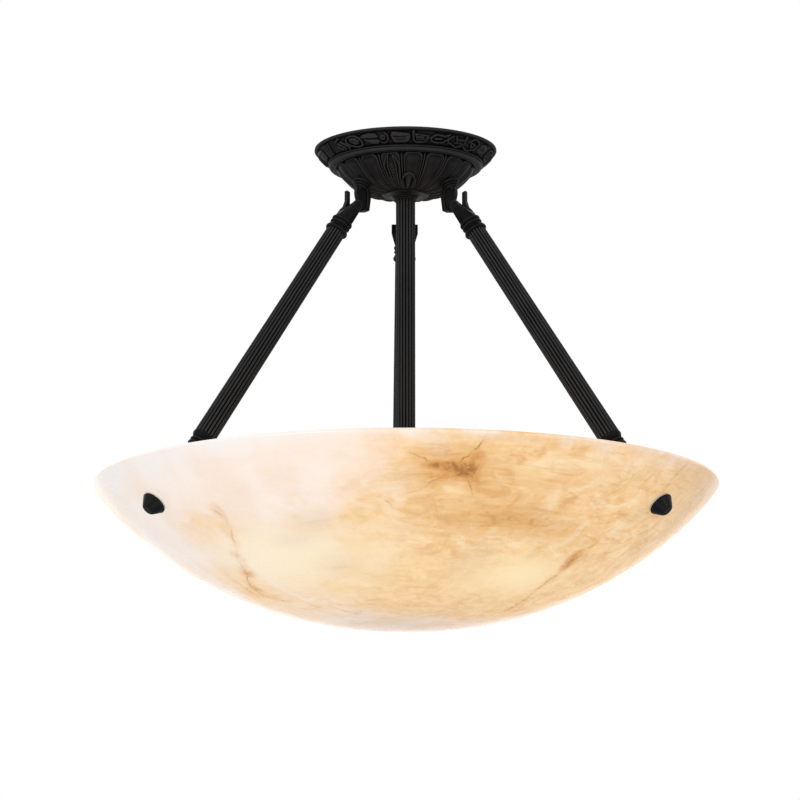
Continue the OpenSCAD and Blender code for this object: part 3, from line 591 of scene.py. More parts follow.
# Each spot: around, up, its reach around and up in degrees, its strength
WARM = (
    (54, 54, 43, 40, 1.05), (14, 60, 14, 34, 0.9), (20, 25, 60, 13, 0.85), (84, 60, 22, 40, 0.5),
    (-8, 42, 20, 12, 0.38), (-60, 30, 34, 10, 0.4), (-50, 52, 10, 7, 0.34), (-22, 56, 16, 12, 0.16),
    (0, 16, 80, 8, 0.5), (140, 60, 26, 30, 0.8), (225, 52, 20, 26, 0.6), (262, 66, 14, 18, 0.5)
)
BROWN = (
    (7.5, 72.5, 6, 5, 0.7), (14, 65, 6, 6, 0.75), (3, 64, 6, 5, 0.55), (26, 50, 17, 4.5, 0.7),
    (12, 50, 10, 5, 0.45), (24, 58, 8, 8, 0.35), (40, 67, 16, 9, 0.28), (58, 58, 3, 7, 0.45),
    (62, 76, 4, 10, 0.25), (45, 47, 12, 5, 0.3), (137, 64, 8, 7, 0.6), (183, 66, 6, 8, 0.4),
    (253, 60, 7, 8, 0.45)
)
GLOW = (
    (-31, 37, 27, 12, 1), (-47, 42, 12, 9, 0.35), (40, 33.5, 17, 7.5, 1), (180, 37, 27, 13, 0.95),
    (34, 72, 5, 3, 0.55), (24, 68, 4, 3, 0.35), (40, 66, 4, 3, 0.4), (20, 30, 12, 5, 0.25)
)
SHADE = (
    (84, 79, 20, 28, 0.85), (60, 84, 22, 5, 0.25), (0, 0, 400, 15, 0.7), (14, 84, 14, 4, 0.2),
    (19, 37, 7, 6, 0.24), (-22, 50, 6, 3.5, 0.3), (-21, 35, 8, 4, 0.26), (-30, 44, 5, 2.5, 0.22),
    (168, 76, 16, 12, 0.25)
)
# Cooler, whiter stone at the ends, and a painted highlight all along the rim: the band at 89.5 degrees up
COOL_AND_RIM_HIGHLIGHT = (
    (-88, 74, 20, 24, 1), (-60, 80, 30, 9, 0.7), (-20, 86, 30, 6, 0.5), (-75, 52, 14, 14, 0.35),
    (0, 89.5, 400, 1.6, 0.55), (95, 78, 14, 20, 0.45), (-130, 76, 30, 18, 0.6), (195, 80, 40, 8, 0.5)
)
CURDLED = (
    (30, 66, 20, 13, 1), (40, 58, 26, 18, 0.7), (6, 50, 18, 14, 0.7), (60, 50, 20, 16, 0.7),
    (30, 40, 26, 7, 0.55), (-2, 32, 22, 9, 0.45), (140, 60, 26, 24, 0.8), (225, 55, 20, 22, 0.7)
)
SMUDGE = (
    (8.2, 67.2, 3, 2.4, 1), (10.6, 65.4, 2.2, 2.4, 0.9), (4.8, 67.6, 3.4, 1.5, 0.65),
    (5.2, 63.6, 3.4, 2, 0.5), (12.2, 71, 1.8, 4, 0.6), (13, 62, 2.2, 2.2, 0.5), (52, 39.5, 2.6, 2.6, 0.85),
    (50.5, 42.5, 2.2, 2, 0.45), (55, 33.5, 3, 1.6, 0.35), (-57, 36.5, 3.6, 2.4, 0.5),
    (-44, 56, 2, 3.4, 0.28), (-47, 48, 2.2, 4, 0.26), (-52, 41, 2.4, 3, 0.35), (-66, 31, 4, 2, 0.4),
    (139, 66, 3, 3, 0.7), (183, 66, 3, 3, 0.6)
)


def spots(places, around, up):
    total = np.zeros_like(around)
    for spot_around, spot_up, reach_around, reach_up, strength in places:
        apart = (around - spot_around + 180) % 360 - 180
        total += strength * np.exp(-(apart / reach_around) ** 2 - ((up - spot_up) / reach_up) ** 2)
    return np.clip(total, 0, 1)


def on_bowl(around, up):
    a, r = np.radians(around), BOWL_R * np.sin(np.radians(up))
    return np.stack([r * np.sin(a), -r * np.cos(a), bowl_z(r)], -1)


def vein_fields(points, normals):
    """Signed distance to the nearest vein of each of three sets, and its strength."""
    near = np.full((len(points), 3), 60.0)
    force = np.zeros((len(points), 3))
    for group, strength, path in VEINS:
        path = np.array(path, float)
        steps = np.linspace(0, len(path) - 1, (len(path) - 1) * 6 + 1)
        line = on_bowl(*(np.interp(steps, range(len(path)), path[:, k]) for k in (0, 1)))
        length = len(line) - 1
        for k in range(length):
            along = line[k + 1] - line[k]
            share = np.clip((points - line[k]) @ along / (along @ along), 0, 1)
            gap = points - line[k] - share[:, None] * along
            distance = np.linalg.norm(gap, axis=1)
            side = np.sign(np.einsum("ij,ij->i", np.cross(along, gap), normals))
            closer = distance < np.abs(near[:, group])
            near[closer, group] = (distance * np.where(side == 0, 1, side))[closer]
            place = (k + share) / length
            fade = np.clip(np.minimum(place, 1 - place) * 5, 0.15, 1)
            force[closer, group] = (strength * fade)[closer]
    return near, force


def bowl_profile():
    """From the bottom up the outside, over the rim and down the inside."""
    up = np.concatenate([np.linspace(0, 84, 78), np.linspace(84.8, 89.2, 12)])
    outer_r = BOWL_R * np.sin(np.radians(up))
    outer = np.stack([outer_r, bowl_z(outer_r)], 1)
    turn = np.radians(np.linspace(0, 90, 7))
    centre = np.array([BOWL_R - RIM_ROUND, RIM_Z - RIM_ROUND])
    edge = centre + RIM_ROUND * np.stack([np.cos(turn), np.sin(turn)], 1)
    wall_r = BOWL_R - BOWL_WALL
    inner_edge = np.array([[wall_r + 1.2, RIM_Z], [wall_r + 0.35, RIM_Z - 0.3], [wall_r, RIM_Z - 1.2]])
    down_r = BOWL_R * np.sin(np.radians(np.linspace(86, 0, 56)))
    slope = bowl_slope(down_r)
    inner = np.stack([down_r - BOWL_WALL * np.sin(slope), bowl_z(down_r) + BOWL_WALL * np.cos(slope)], 1)
    return np.vstack([outer, edge, inner_edge, inner[inner[:, 1] < RIM_Z - 2.5]])


def paint_bowl(mesh):
    points = read(mesh, "co").astype(float) / MM
    radius = np.hypot(points[:, 0], points[:, 1])
    around = np.degrees(np.arctan2(points[:, 0], -points[:, 1]))
    up = np.degrees(np.arcsin(np.clip(radius / BOWL_R, 0, 1)))
    near, force = vein_fields(points, read(mesh, "normal").astype(float))
    fields = np.stack([spots(places, around, up) for places in (WARM, GLOW, BROWN, SHADE)], 1)
    more = np.stack([spots(places, around, up) for places in (COOL_AND_RIM_HIGHLIGHT, CURDLED, SMUDGE)], 1)
    for name, values in {"fields": fields, "more": more, "vein_near": near, "vein_force": force}.items():
        kind = "COLOR" if values.shape[1] == 4 else "VECTOR"
        made = mesh.attributes.new(name, "FLOAT_" + kind, "POINT")
        made.data.foreach_set(kind.lower(), values.astype(np.float32).ravel())


def bowl():
    drill = lathe(box_outline(0, HOLE_D / 2, -20, 5), 0)
    drills = [moved(drill, at_wall(station)) for station in STATIONS.values()]
    shell = sculpted(grid(levels(bowl_profile(), BOWL_COLUMNS)), drills)
    paint_bowl(piece("bowl_shell", shell, "bowl", "bowl", ALABASTER).data)


# Canopy: a revolved relief

def span_of(value, low, high):
    t = np.clip((value - low) / (high - low), 0, 1)
    return t * t * (3 - 2 * t)


def swell(distance, reach):
    """Round section of a ridge: 1 in its middle, 0 past its reach."""
    return np.sqrt(np.clip(1 - (distance / reach) ** 2, 0, 1))


def repeated(around, start, period):
    return (around - start + period / 2) % period - period / 2


def stroke(path, thick, thin=None, height=1):
    """A rounded ridge along a path in mm; it may taper to its end."""
    path = np.array(path, float)
    thin = thick if thin is None else thin

    def draw(u, v):
        top = np.zeros_like(u)
        count = len(path) - 1
        for k in range(count):
            a, along = path[k], path[k + 1] - path[k]
            du, dv = u - a[0], v - a[1]
            share = np.clip((du * along[0] + dv * along[1]) / max(along @ along, 1e-9), 0, 1)
            gap = np.hypot(du - share * along[0], dv - share * along[1])
            top = np.maximum(top, swell(gap, thick + (thin - thick) * (k + share) / count))
        return top * height
    return draw


def pad(corners, ease, height=1, cut=None):
    """A cushion over a convex outline that goes clockwise, with a cut in it."""
    corners = np.array(corners, float)

    def draw(u, v):
        inside = np.full(u.shape, 99.0)
        for a, b in zip(corners, np.roll(corners, -1, 0)):
            along = (b - a) / np.hypot(*(b - a))
            inside = np.minimum(inside, (u - a[0]) * along[1] - (v - a[1]) * along[0])
        top = np.sqrt(1 - (1 - np.clip(inside / ease, 0, 1)) ** 2) * height
        return top - cut(u, v) if cut else top
    return draw


def around_oval(centre, rx, ry, start, end, steps=16):
    return arc(centre, rx, ry, np.linspace(start, end, steps))


BUNDLE = [stroke([(-7 + 4.2 * k, -6), (-3 + 4.2 * k, 5.6)], 1.3, 0.9) for k in range(3)] + [
    stroke([(u, v), (u + 0.05, v)], 1.1) for u, v in ((-9.2, -5.4), (-8.6, -1.8), (-5, -7))]
CHEVRON = [
    stroke([(-0.6, 7), (-3.6, 5.2), (-6.8, 3.8)], 1.1, 0.8),
    stroke([(0.6, 3), (4.6, -0.6), (8.4, -4.4), (5.8, -7.2)], 1.15, 0.9),
    stroke([(-3.8, 2), (-0.4, -1.4), (2.9, -4.6), (0.8, -6.6)], 0.95, 0.8),
    stroke([(-6.2, -0.8), (-3.6, -3.2), (-1.4, -5.6)], 0.9, 0.7)]
OVAL = [
    stroke([(-8.4, 3.6), (-9.2, 0.4), (-5.4, -3.6), (-1, -5.8), (3.2, -6.6), (8, -5.2), (8.6, -2),
            (7.2, 2.4), (2.8, 5.8), (-2.6, 6.4), (-6.4, 5.2)], 0.95),
    pad([(-6, 1.2), (-4, 4.4), (2.8, 3.9), (5.4, 0), (4.4, -3.2), (-0.4, -3.9)], 2.4, 0.95,
        stroke([(-4.4, 1.6), (0.6, 0.9), (4, -1.6)], 0.55, height=0.5))]
LEAF = [
    pad([(-10, 3.4), (-6, 5.8), (0, 6.8), (6.8, 5.6), (9, 1.6), (6, 0.5), (-7, 1.6)], 2.3),
    pad([(-7.3, 0.4), (0.6, -0.2), (7, -0.6), (10.2, -3.2), (6.8, -6.6), (0, -5.6)], 2.1, 0.9)]
CURL = [
    stroke(around_oval((-0.6, 0.2), 4.9, 5.6, 66, -118), 0.95, 0.7),
    stroke(around_oval((-0.8, 0.6), 1.7, 2, 0, 300), 0.9, height=0.4)]
HEART = [
    pad([(-8.4, -2.4), (-9.4, 2.6), (-7.8, 6.3), (-4.2, 6.2), (8.6, 4.4), (9.8, 1), (8.4, -4.8),
         (4, -6), (-5.6, -6.2)], 2.6, 1,
        stroke([(-6.6, 1.8), (-1, 1.2), (4.6, 1.7), (8.6, 2.8)], 0.7, 0.4, 0.42))]
BOAT = [
    stroke([(-7.3, 6.4), (-7.2, 1), (-6.5, -2.9), (-4.2, -5.2), (3.8, -4.9), (6.2, -2.6), (7.8, 0.4)],
           1.1, 0.9),
    stroke([(-4.9, 3.7), (7.4, 2.2), (4.1, -1.9), (-3.4, -2), (-4.9, 3.7)], 0.75),
    pad([(-3.8, -0.9), (-4.2, 2.2), (4.6, 1.4), (3, -1.2)], 1.4, 0.8)]
EYE = [
    stroke([(9.4, 5.4), (4.7, 3.4), (-2.4, 4.3), (-5.2, 3.5), (-8.5, 0.1), (-7, -3.4), (-2.4, -4.6),
            (4.4, -3.7), (6.6, -1.6), (13.6, 4.6)], 1.1, 0.9),
    stroke([(-3.6, -0.3), (2.4, 0.4)], 1.3, 1),
    stroke([(9, 2), (10.8, -3.4)], 1, 0.8)]
SHIELD = [
    stroke([(7.1, 7.2), (7.5, -0.3), (4, -4), (0, -6.6), (-5, -4.6), (-8.7, -3)], 0.95),
    stroke([(-3.7, 5.4), (-3.3, 2.2), (6, 3.2)], 0.75),
    stroke([(-3.2, -2), (3.9, -1)], 0.75),
    pad([(-2.6, -0.9), (-2.8, 1.4), (6.2, 2.4), (5.8, 0)], 1.2, 0.55)]
LOOP = [
    stroke([(-5.3, 2.6), (-1.4, 6.2), (2.6, 7), (7.4, 5.4), (9.2, 2.4), (8, -1.6), (5.3, -4.3),
            (-1.5, -7.2), (-5.6, -6.2), (-8.6, -4.2)], 1.1, 0.85),
    stroke([(-2.4, 2.4), (4.9, 1.1), (0.6, -2.9), (-2.4, 2.4)], 0.8)]
BUD = [pad([(-8, -2), (-6.5, 4.4), (0, 5.8), (7, 3.4), (8.2, -1), (3, -5.4), (-4, -5.6)], 3.6, 0.72)]
RIDGED_OVAL = [stroke(around_oval((0, 0), 8.4, 5.6, 0, 360, 24), 0.9)] + [
    stroke([(-4.6 + 3.8 * k, -2.8), (-2.8 + 3.8 * k, 3)], 0.85) for k in range(3)]

# Vine of buds, leaves and loops around the frieze, its places in degrees from the front
FRIEZE = (
    (-66, BUNDLE), (-49.5, CHEVRON), (-37.9, OVAL), (-25.4, LEAF), (-15.6, CURL), (-4.2, HEART),
    (9.5, BOAT), (22.5, EYE), (37.5, SHIELD), (50.2, LOOP), (64.5, BUD), (80, RIDGED_OVAL), (98.5, HEART))


def frieze_height(around, v):
    """Bold motifs on a sunken ground."""
    to_mm = radians(1) * (FRIEZE_TOP[0] + FRIEZE_LOW[0]) / 2
    top = np.zeros(around.shape)
    for place, marks in FRIEZE:
        u = repeated(around, place, PATTERN_PERIOD) * to_mm
        close = np.abs(u) < 15
        if close.any():
            drawn = [mark(u[close], np.full(close.sum(), v)) for mark in marks]
            top[close] = np.maximum.reduce([top[close]] + drawn)
    return GROUND + 1.6 * top


def gadroon_height(around, s, r):
    """Cushioned tongues with a raised border and square round heads, a fillet in each valley."""
    step = 360 / LOBES
    w = np.abs(np.radians(repeated(around, LOBE_TURN, step))) * r
    half = radians(step / 2) * r
    border = half * 0.83 - 0.25
    corner = min(5.4, border * 0.8)
    head = 1
    into_corner = (w > border - corner) & (s < head + corner)
    inside = np.where(into_corner, corner - np.hypot(w - border + corner, head + corner - s),
        np.minimum(border - w, s - head))
    across = 1 - np.clip(w / max(border - 1.3, 0.5), 0, 1) ** 2.4
    along = 1 - (1 - np.clip((s - head - 1.3) / 7, 0, 1)) ** 2
    rim = -0.62 - 0.55 * ((inside - 0.55) / 0.6) ** 2
    height = np.where(inside > 1.3, -1.15 + 1.15 * across * along, np.maximum(rim, -1.15))
    wall = -1.1 - (VALLEY - 1) * span_of(-inside, -0.15, 0.55)
    height = np.where(inside < 0.15, np.minimum(height, wall), height)
    fillet = swell(half - w, 0.05 * half + 0.3) * span_of(s, 2, 4)
    return np.maximum(height, -VALLEY - 0.1 + 1.35 * fillet)


def acanthus_height(around, s, r):
    """Pointed leaf of nested arches and ribs, laid over one tongue."""
    w = np.abs(np.radians(repeated(around, LOBE_TURN - 20, PATTERN_PERIOD)) * r)
    t = np.clip((s - 1.6) / 46, 0, 1)
    half = 0.148 * r * np.clip(t / 0.3, 0, 1) ** 0.5 * (1 - 0.12 * t)
    inside = half - w
    arches = [swell(inside - 0.9, 0.85), swell(inside - 0.48 * half - 0.3, 0.8) * 0.85 * (t > 0.06)]
    slant = np.cos(tau * (s + 1.3 * w) / 3.6)
    ribs = (inside > 0.55 * half + 1.3) * (0.3 + 0.3 * slant) * (t > 0.25)
    return np.where((inside > 0) & (t > 0) & (t < 1), np.maximum.reduce(arches + [ribs]), -9)


def palmette_height(around, s, r, end):
    """Tall shell of ribs that rises from the hub between two tongues."""
    w = np.radians(repeated(around, 3, PATTERN_PERIOD)) * r
    up = end - 1.5 - s
    inside = (1 - np.hypot(w / 7.4, (up - 15) / 15.5)) * 8
    ribs = -0.5 + 1.5 * np.abs(np.cos(np.arctan2(w * 2.2, up + 7) * 5.2)) ** 0.7
    shell = np.maximum(swell(inside - 0.7, 0.8), ribs * (inside > 1.5))
    return np.where((inside > 0) & (up > 0), shell, -9)


def gadroon_curve():
    """Places along the gadroons: length from the heads, radius, height and tilt."""
    share = np.linspace(0, 1, 1500)
    width = GADROON_R - HUB_SEAT_R
    r = GADROON_R - width * share
    z = GADROON_Z - GADROON_H * (1 - (1 - share) ** GADROON_POWER)
    tilt = np.arctan2(width, GADROON_H * GADROON_POWER * (1 - share) ** (GADROON_POWER - 1))
    return np.concatenate([[0], np.cumsum(np.hypot(np.diff(r), np.diff(z)))]), r, z, tilt


def canopy_profile():
    """Rows of the canopy: radius, height, the way its relief points, kind and place."""
    rows = []

    def add(points, kind="plain", outwards=(1, 0)):
        for k, p in enumerate(points):
            rows.append((p[0], p[1], outwards[0], outwards[1], kind, k / max(len(points) - 1, 1)))

    add([(88.3, 0), (88.85, -0.25), (89, -0.8), (89, -1.6), (88.7, -2.1), (88.1, -2.35), (87.7, -2.45),
        (87.6, -2.7)])
    along = FRIEZE_LOW - FRIEZE_TOP
    out = np.array([-along[1], along[0]]) / np.hypot(*along)
    share = np.linspace(0, 1, FRIEZE_ROWS)
    add(FRIEZE_TOP + along * share[:, None] + out * (0.75 * np.sin(pi * share))[:, None], "frieze", out)
    add([(75.35, -14.75), (75.75, -14.95), (75.8, -15.35), (75.4, -15.6), (74.75, -15.65), (74.4, -15.75)])
    add(arc((73, -17), 1.75, 1.55, np.linspace(60, -75, 8)))
    add([(72.4, -18.7), (71.3, -18.75), (70.2, -18.95), (69.4, -19.3)])
    lengths, r, z, tilt = gadroon_curve()
    for s in np.linspace(0, 1, GADROON_ROWS) ** 1.08 * lengths[-1]:
        here_r, here_z, turn = (np.interp(s, lengths, values) for values in (r, z, tilt))
        rows.append((here_r, here_z, cos(turn), -sin(turn), "gadroon", s))
    add([(HUB_HOLE_R + 0.6, -45), (HUB_HOLE_R, -44.5)])
    inner = [(HUB_HOLE_R, -43.2)]
    inset = VALLEY + 1.8
    for s in (0.94, 0.8, 0.62, 0.45, 0.3, 0.2):
        k = int(s * (len(r) - 1))
        inner.append((r[k] - inset * cos(tilt[k]), z[k] + inset * sin(tilt[k])))
    inner += [(67.2, -17.7), (71.6, -16.8), (74.5, -12.8), (85.9, -0.9), (86.2, 0)]
    return rows, inner, lengths[-1]


def canopy():
    """Outer rows in relief, and inner rows with every fourth column, bridged to them."""
    rows, inner, end = canopy_profile()
    degrees = np.arange(COLUMNS) * 360 / COLUMNS
    around = (degrees + 90) % 360
    around = np.where(around > 180, around - 360, around)
    a = np.radians(degrees)
    points = []
    for r, z, out_r, out_z, kind, place in rows:
        height = np.zeros(COLUMNS)
        if kind == "frieze":
            edge = span_of(place, 0, 0.05) * (1 - span_of(place, 0.95, 1))
            height = frieze_height(around, 8.35 - 16.7 * place) * edge
        elif kind == "gadroon":
            height = gadroon_height(around, place, r)
            leaf = acanthus_height(around, place, r)
            height = np.where(leaf > -5, -1.25 + 1.2 * leaf, height)
            fan = palmette_height(around, place, r, end)
            height = np.where(fan > -5, -0.8 + 1.5 * fan, height)
            height = height * min(1, place / 0.8 + 0.25, (end - place) / 1.6)
        points.append(level(a, r + out_r * height, z + out_z * height))
    outer = grid(points)
    few = a[::INNER_SHARE]
    whole, faces = joined([outer, grid([level(few, r, z) for r, z in inner])])
    inner_start = len(outer[0])
    low_start, top_start = inner_start - COLUMNS, len(whole) - len(few)
    for k in range(len(few)):
        after = (k + 1) % len(few)
        near = [(k * INNER_SHARE + j) % COLUMNS for j in range(INNER_SHARE + 1)]
        faces.append([low_start + j for j in near] + [inner_start + after, inner_start + k])
        faces.append(near[::-1] + [top_start + k, top_start + after])
    piece("canopy_shell", (whole, faces), "root", "canopy", CAST)


# Shaped solids that are rounded all over: hulls and outlines, cut and remeshed

def hull_of(points):
    work = bmesh.new()
    for p in points:
        work.verts.new(p)
    found = bmesh.ops.convex_hull(work, input=work.verts)
    bmesh.ops.delete(work, geom=[v for v in found["geom_interior"] if isinstance(v, bmesh.types.BMVert)],
        context="VERTS")
    work.verts.index_update()
    part = (np.array([v.co[:] for v in work.verts]), [[v.index for v in f.verts] for f in work.faces])
    work.free()
    return part


def extruded(outline, width):
    """Prism of an (x, z) outline, centred across Y."""
    outline = np.array(outline, float)
    n = len(outline)
    points = np.vstack([np.insert(outline, 1, y, 1) for y in (-width / 2, width / 2)])
    faces = [list(range(n)), list(range(2 * n - 1, n - 1, -1))]
    faces += [[i, i + n, (i + 1) % n + n, (i + 1) % n] for i in range(n)]
    return points, faces


def sculpted(solid, cutters, voxel=None, passes=0):
    """The solid without the cutters; with a voxel, remeshed in small voxels and eased."""
    obj, *others = [placed("temporary", mesh_of("temporary", part)) for part in (solid, *cutters)]
    for other in others:
        modify(obj, "BOOLEAN", operation="DIFFERENCE", object=other)
    if voxel:
        modify(obj, "REMESH", mode="VOXEL", voxel_size=voxel * MM)
        modify(obj, "SMOOTH", iterations=passes, factor=0.5)
    bpy.context.view_layer.update()
    made = bpy.data.meshes.new_from_object(obj.evaluated_get(bpy.context.evaluated_depsgraph_get()))
    made.materials.clear()
    made.shade_smooth()
    for other in (obj, *others):
        bpy.data.objects.remove(other)
    return made


def with_part(mesh, part):
    """The sculpted mesh and a turned part in one mesh."""
    work = bmesh.new()
    work.from_mesh(mesh)
    work.from_mesh(mesh_of("part", part))
    made = bpy.data.meshes.new("joined")
    work.to_mesh(made)
    work.free()
    made.shade_smooth()
    return made


# Hooks

def ring_stack():
    """Three steps that shrink towards the hook, square to the sloping canopy."""
    outline = [(0, 7), (7.6, 7), (7.6, 2.6), (9.3, 1.9), (9.7, 1.4), (9.7, -0.2), (9.3, -0.6), (8.3, -0.7),
        (7.9, -1.1), (8.1, -1.5), (8.1, -2.4), (7.7, -2.8), (6.8, -2.9), (6.4, -3.3), (6.6, -3.7),
        (6.6, -4.5), (6.1, -5), (0, -5.2)]
    tilted = shift(*RING_PLACE) @ Matrix.Rotation(-RING_TILT, 4, "Y")
    return moved(lathe(outline, 0.3, 96), tilted)


def hook_outline():
    """J in its radial plane: swelling shank, heel, bight and a thin upright tip cut aslant."""
    pin = (PIN_PLACE, -PIN_DROP)
    return [(41.4, -43), (55.4, -43), (56.4, -46.5), (56.7, -50), (56.2, -53.5), (55.2, -57), (55, -60.5),
        *arc(pin, 3.3, 3.3, range(180, 361, 12)), (63.7, -51.2), (67.2, -49.6), (67.3, -59.5),
        *arc(pin, 8.8, 8.8, range(0, -91, -9)), (51, -68.6), (43.1, -67.4)]


def hook_rib():
    """Wider band that follows the inner edge of the hook and arches over the top of its web."""
    outer = [(43.1, -67.5), (42.3, -62), (41.4, -55), (41.3, -50), (42.4, -46.6), (44.6, -44.4),
        (47.6, -43.2), (51, -43.2), (54, -44.4), (55.8, -46.6)]
    inner = [(53.6, -47.6), (52.2, -45.9), (50.4, -45.2), (48.2, -45.4), (46.4, -46.8), (45.2, -50),
        (45.2, -55), (45.8, -61), (47, -65), (51, -68.5)]
    return outer + inner


def hooks():
    shape = sculpted(joined([extruded(hook_outline(), 5), extruded(hook_rib(), 8.6)]), [], 0.22, 1)
    stud = thread(3, 0.35, 1, PLATE_Z - 1, PLATE_Z + 8.5, 24)
    barrel = lathe([(0, PLATE_Z), (8.7, PLATE_Z), (8.7, -30.5), (7.4, -32.5), (7.4, -38), (0, -38)], 0.2,
        96)
    upright = moved(joined([barrel, stud]), shift(HOOK_PLACE, 0))
    whole = with_part(shape, joined([upright, ring_stack()]))
    for name, station in STATIONS.items():
        piece(f"hook_forging_{name}", whole, "root", f"hook_{name}", FORGED, at(station, 0, 0))


# Rods

def collar(low):
    """Turned collar from its neck to its flared end, on the side of the tube."""
    h, r = COLLAR_LENGTH, COLLAR_R
    rings = [(0, 0), (r - 2.1, 0), (r - 0.9, 0.6), (r - 0.6, 1.6), (r - 0.8, 2.6), (r - 2.2, 3.2),
        (r - 2.3, 4.3), (r - 1.2, 4.9), (r - 0.8, 5.8), (r - 1.1, 6.8), (r - 2.4, 7.3), (r - 2.4, 8.6),
        (r - 1.4, 9.2), (r - 0.9, 10.6), (r - 0.1, 11.9), (r, 12.6), (r, h - 0.8), (r - 1.6, h), (3.2, h),
        (3.2, h - 10), (0, h - 10)]
    flip = Matrix.Rotation(pi, 4, "X") if low else Matrix.Identity(4)
    return moved(lathe(rings, 0.3), shift(0, -BOTTOM_NECK if low else TOP_NECK) @ flip)


def fork(ends, width, neck_z, slot_r, slot_w, open_side):
    """Two cheeks that taper from the collar to an outline of ends, a list of (x, z)."""
    points = [level(turns(48), COLLAR_R - 2.1, neck_z)]
    half = width / 2
    for y, ease in ((-half, 0.93), (0.5 - half, 1), (half - 0.5, 1), (half, 0.93)):
        points.append(np.array([(x * ease, y, z * ease) for x, z in ends]))
    bar = lathe(box_outline(0, slot_r, -slot_w / 2, slot_w / 2), 0.8, 48)
    cutters = [moved(bar, ALONG_Y)]
    if open_side:
        cutters.append(extruded(box_outline(-slot_r, slot_r, 0, slot_r + 2), slot_w))
    return sculpted(hull_of(np.vstack(points)), cutters, 0.3, 2)


def reeded_tube(start, end, r_start, r_end, bore):
    """Closed tube with round reeds outside and a plain bore."""
    angles = turns(REEDS * REED_SAMPLES)
    phase = (np.arange(len(angles)) / REED_SAMPLES + 0.5) % 1 - 0.5
    valley = REED_DEPTH * (1 - swell(phase, 0.36))
    rows = []
    between = np.linspace(start + 8, end - 8, 24)
    for z in (start, start + 0.4, start + 1.2, *between, end - 1.2, end - 0.4, end):
        r = r_start + (r_end - r_start) * (z - start) / (end - start)
        rows.append(level(angles, r - valley - (0.5 if z in (start, end) else 0), z))
    return grid(rows + [level(angles, bore, end), level(angles, bore, start)], closed=True)


# Outline of the upper cheeks around the pin, x towards the light's axis
TOP_CHEEK = [(-3.2, -4.3), (-0.6, -4.9), (2.6, -3.6), (4.6, -0.6), (5.2, 3.2), (-5, 3.4)]


def rods():
    low_cheek = arc((0, 0), 7.5, 7.5, range(0, 360, 10))
    top = with_part(fork(TOP_CHEEK, TOP_WIDTH, TOP_NECK + 0.7, 12, 13, False), collar(False))
    low = with_part(fork(low_cheek, BOTTOM_WIDTH, -BOTTOM_NECK - 0.7, 10.5, 7.2, True), collar(True))
    tube = mesh_of("tube", reeded_tube(TOP_NECK + COLLAR_LENGTH, ROD_REACH - BOTTOM_NECK - COLLAR_LENGTH,
        9.35, 10.75, 5))
    for name, station in STATIONS.items():
        body = f"rod_{name}"
        place = at(station, PIN_PLACE, -PIN_DROP, pi - ROD_TILT)
        low_place = place @ shift(0, ROD_REACH)
        piece(f"top_fork_{name}", top, body, f"top_fitting_{name}", FORGED, place)
        piece(f"low_fork_{name}", low, body, f"bottom_fitting_{name}", FORGED, low_place)
        piece(f"reeded_rod_{name}", tube, body, f"rod_tube_{name}", REEDED, place)
        for end, width, frame_at in (("top", TOP_WIDTH, place), ("bottom", BOTTOM_WIDTH, low_place)):
            z = width / 2 - 0.2
            pin = lathe([(0, -z), (2.2, -z), (3, 0.6 - z), (3, z - 0.6), (2.2, z), (0, z)], 0.3, 36)
            piece(f"cross_pin_{end}_{name}", moved(pin, ALONG_Y), body, f"{end}_pin_{name}", PIN, frame_at)


# Clamps in the wall of the bowl

def at_walls(part):
    return joined([moved(part, at_wall(station)) for station in STATIONS.values()])


def clamps():
    ring = moved(lathe([(3.5, -3), (8.3, -3), (9, -1.9), (9, 1.9), (8.3, 3), (3.5, 3)], 0.9), ALONG_Y)
    eye = moved(ring, shift(0, -PIVOT_STANDOFF))
    neck = lathe([(0, -28.4), (3.4, -28.4), (4.6, -26.6), (4, -25.2), (4, -24), (0, -24)], 0.4, 36)
    shank = thread(4, 0.45, 1.25, -25, 8.5)
    piece("eye_bolt_set", at_walls(joined([eye, neck, shank])), "bowl", "eye_bolts", STEEL)
    for name, node_name, r, low, high, paint in (("inner_gasket_set", "bowl_inner_gaskets", 11.5, -11, -9.5,
            GASKET), ("inner_washer_set", "bowl_inner_washers", 10, -12.5, -11, STEEL),
            ("outer_gasket_set", "bowl_outer_gaskets", 11.5, 0.3, 1.8, GASKET)):
        piece(name, at_walls(lathe(box_outline(4.6, r, low, high), 0.35)), "bowl", node_name, paint)
    knob = lathe([(4.15, 2.1), (11.8, 2.1), (12, 2.4), (12, 3.5), (11.4, 4), (11.15, 4.5), (9.9, 6.4),
        (8.6, 8.5), (7.3, 10.4), (6.3, 11.8, 0.6), (5.3, 12.5), (2.6, 12.6), (0, 12.6), (0, 9.5),
        (4.15, 9.5)], 0.4, 96)
    for name, station in STATIONS.items():
        piece(f"turned_knob_{name}", knob, f"knob_{name}", f"knob_{name}", TURNED, at_wall(station))


# Stem and lamps

